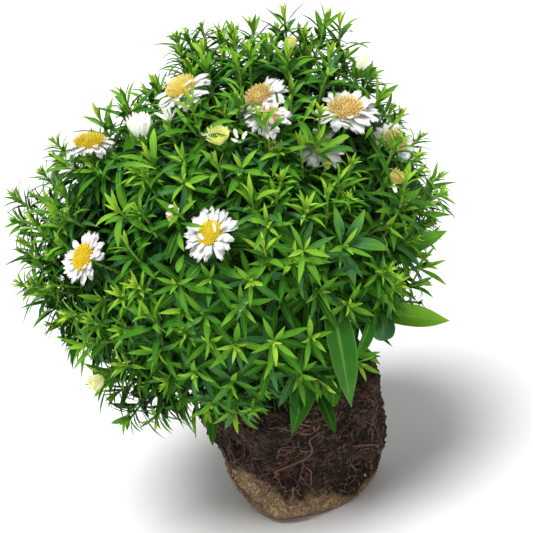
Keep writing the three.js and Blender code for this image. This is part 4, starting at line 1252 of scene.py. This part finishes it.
def addSurfaceRoot(store, draw, angle, z, steps, thick, wander, tone, sides=5):
    heading, points = draw.uniform(0, anyTurn), []
    for i in range(steps):
        points.append((angle, z))
        heading += draw.normal(0, wander)
        z = z + math.sin(heading) * rootPlan["step"]
        if z < rootPlan["lowest"] or z > rootPlan["highest"]:
            heading = -heading
            z = min(max(z, rootPlan["lowest"]), rootPlan["highest"])
        angle += math.cos(heading) * rootPlan["step"] / rootPlan["meanRadius"]
    track, t = np.array(points), np.linspace(0, 1, steps)
    dip = 0.35 + 0.75 * np.sin(np.linspace(0, draw.uniform(4, 12), steps) + draw.uniform(0, 6))
    line = smooth(onBall(track[:, 0], track[:, 1], dip * thick))
    store.add(tube(line, thick * (1 - 0.6 * t) * (1 - t ** 8 * 0.8), sides), tone=tone, slot=1, ring=True)


def addThickRoot(store, k):  # one of the six that the solid has as well
    start, low, way = k * goldenAngle * 1.7, 14 + 20 * (k % 3), 1 if k % 2 else -1
    i = np.linspace(0, 6, 30)
    z = low + 5.5 * i + 3 * np.sin(1.3 * i + k)
    angle = start + 0.16 * i * way + 0.1 * np.sin(1.9 * i + k)
    thick = 1.05 * (1 - (2 * i / 6 - 1) ** 8) * (1 - 0.08 * i) + 0.05
    store.add(tube(onBall(angle, z, 0.6), thick, 7), tone=0.2, slot=1, ring=True)


def addLumps(store, draw, many, size, slot, lift):
    angle, z = draw.uniform(0, wholeTurn, many), draw.uniform(rootPlan["lowest"], rootPlan["highest"], many)
    centre = onBall(angle, z, lift)
    turn = evenTurns(5)
    radius = draw.uniform(*size, many)[:, None, None]
    squash = draw.uniform(0.6, 1.2, (many, 1, 3))
    rows = []
    for a in np.linspace(0.2, math.pi - 0.2, 4):
        loop = polar(np.sin(a), turn, math.cos(a))
        rows.append(centre[:, None] + loop[None] * radius * squash * draw.uniform(0.85, 1.15, (many, 5, 1)))
    store.add(np.stack(rows, axis=1), tone=feltOn(angle, z) if slot == 0 else 0.0, slot=slot, ring=True)


def makeRootBall():
    draw = np.random.default_rng(ballPlan["seed"])
    store = Store()
    around = np.linspace(0, fullTurn, ballPlan["around"], endpoint=False)
    rim = ballSkin(around, ball["rimHeight"])
    rows = [polar(share * ball["footRadius"], around, 0.0)
            for share in np.linspace(0.02, 0.98, ballPlan["footRows"])]
    rows += [onBall(around, z) for z in np.linspace(0.0, ball["rimHeight"], ballPlan["up"])]
    for share in np.linspace(0.03, 1, ballPlan["topRows"]):
        edge = rim * (1 - share) + 0.02
        rows.append(polar(edge, around, soilHeight(edge)))
    grid = np.stack(rows)
    flat = grid.reshape(-1, 3)
    outward = unit(flat * np.array([1, 1, 0.15]) + np.array([0, 0, 0.01]))
    rough = grain(flat, 0.085, 3.0) * ballPlan["lumps"] * 0.7 + grain(flat, 0.34, 9.0) * ballPlan["grain"]
    felt = feltOn(np.arctan2(flat[:, 1], flat[:, 0]), flat[:, 2])
    held = np.clip(flat[:, 2] / 5, 0, 1) * (1 - 0.7 * felt)
    flat = flat + outward * (rough * held)[:, None]
    store.add(flat.reshape(grid.shape), tone=felt.reshape(1, *grid.shape[:2]), ring=True)
    for k in range(6):
        addThickRoot(store, k)
    for i in range(ballPlan["roots"]):
        angle, z, steps = draw.uniform(0, wholeTurn), draw.uniform(6, 86), int(draw.integers(8, 20))
        thick = draw.uniform(*rootPlan["thick"])
        addSurfaceRoot(store, draw, angle, z, steps, thick, 0.5, draw.uniform(0, 0.75))
    for i in range(ballPlan["hairs"]):
        angle, z = draw.uniform(0, wholeTurn), draw.uniform(5, 88)
        thick = draw.uniform(*rootPlan["hairThick"])
        addSurfaceRoot(store, draw, angle, z, 9, thick, 0.6, draw.uniform(0.2, 1), sides=3)
    addLumps(store, draw, ballPlan["crumbs"], (0.4, 1.3), slot=0, lift=0.1)
    addLumps(store, draw, ballPlan["perlite"], (0.8, 1.4), slot=2, lift=0.6)
    return dress(store, "rootBall", [soil, rootSkin, perlite], "root_ball")


print("root ball:", len(makeRootBall().data.polygons) * 2, "triangles")


# The camera, the floor and the lights

shot = {"lens": 92.1, "distance": 0.9, "elevation": 18.0, "roll": 14.5, "shift": (0.01815, -0.0234)}


def addCamera():
    e, a = math.radians(shot["elevation"]), math.radians(shot["roll"])
    right, ahead = Vector((1, 0, 0)), Vector((0, math.cos(e), -math.sin(e)))
    above = right.cross(ahead)
    turnedRight = right * math.cos(a) - above * math.sin(a)
    turnedUp = right * math.sin(a) + above * math.cos(a)
    data = bpy.data.cameras.new("camera")
    data.lens, data.clip_end = shot["lens"], 200
    camera = addObject("camera", data)
    place = (canopy["centre"] / metre - ahead * shot["distance"] + turnedRight * shot["shift"][0]
             + turnedUp * shot["shift"][1])
    camera.matrix_world = Matrix((turnedRight, turnedUp, -ahead)).transposed().to_4x4()
    camera.matrix_world.translation = place
    bpy.context.scene.camera = camera


floorPlan = {"half": 60.0, "colour": (0.94, 0.94, 0.94, 1), "roughness": 0.9, "gloss": 0.1}


def addFloor():
    t = ShaderTree("floor")
    t.finish(colour=floorPlan["colour"], roughness=floorPlan["roughness"], gloss=floorPlan["gloss"])
    half = floorPlan["half"]
    corners = [(-half, -half, 0), (half, -half, 0), (half, half, 0), (-half, half, 0)]
    mesh = bpy.data.meshes.new("floor")
    mesh.from_pydata(corners, [], [(0, 1, 2, 3)])
    mesh.materials.append(t.material)
    addObject("floor", mesh)


# Suns light the whole floor evenly; towards is where each one shines
suns = [
    {"name": "key", "towards": (0.2, 0.5, -1.3), "width": 30, "strength": 3.4},
    {"name": "fill", "towards": (-0.5, 1.0, -0.45), "width": 60, "strength": 0.62},
    {"name": "back", "towards": (-0.1, -0.7, -0.9), "width": 50, "strength": 0.5},
]
worldLight = {"colour": (1, 1, 1, 1), "strength": 0.18}


def addLights():
    for sun in suns:
        data = bpy.data.lights.new(sun["name"], "SUN")
        data.angle, data.energy = math.radians(sun["width"]), sun["strength"]
        light = addObject(sun["name"], data)
        light.rotation_euler = Vector(sun["towards"]).to_track_quat("-Z", "Y").to_euler()
    world = bpy.data.worlds.new("world")
    world.use_nodes = True
    background = world.node_tree.nodes["Background"]
    background.inputs["Color"].default_value = worldLight["colour"]
    background.inputs["Strength"].default_value = worldLight["strength"]
    bpy.context.scene.world = world


addCamera()
addFloor()
addLights()
bpy.context.scene.view_settings.view_transform = "Standard"
print("camera, floor and lights made")
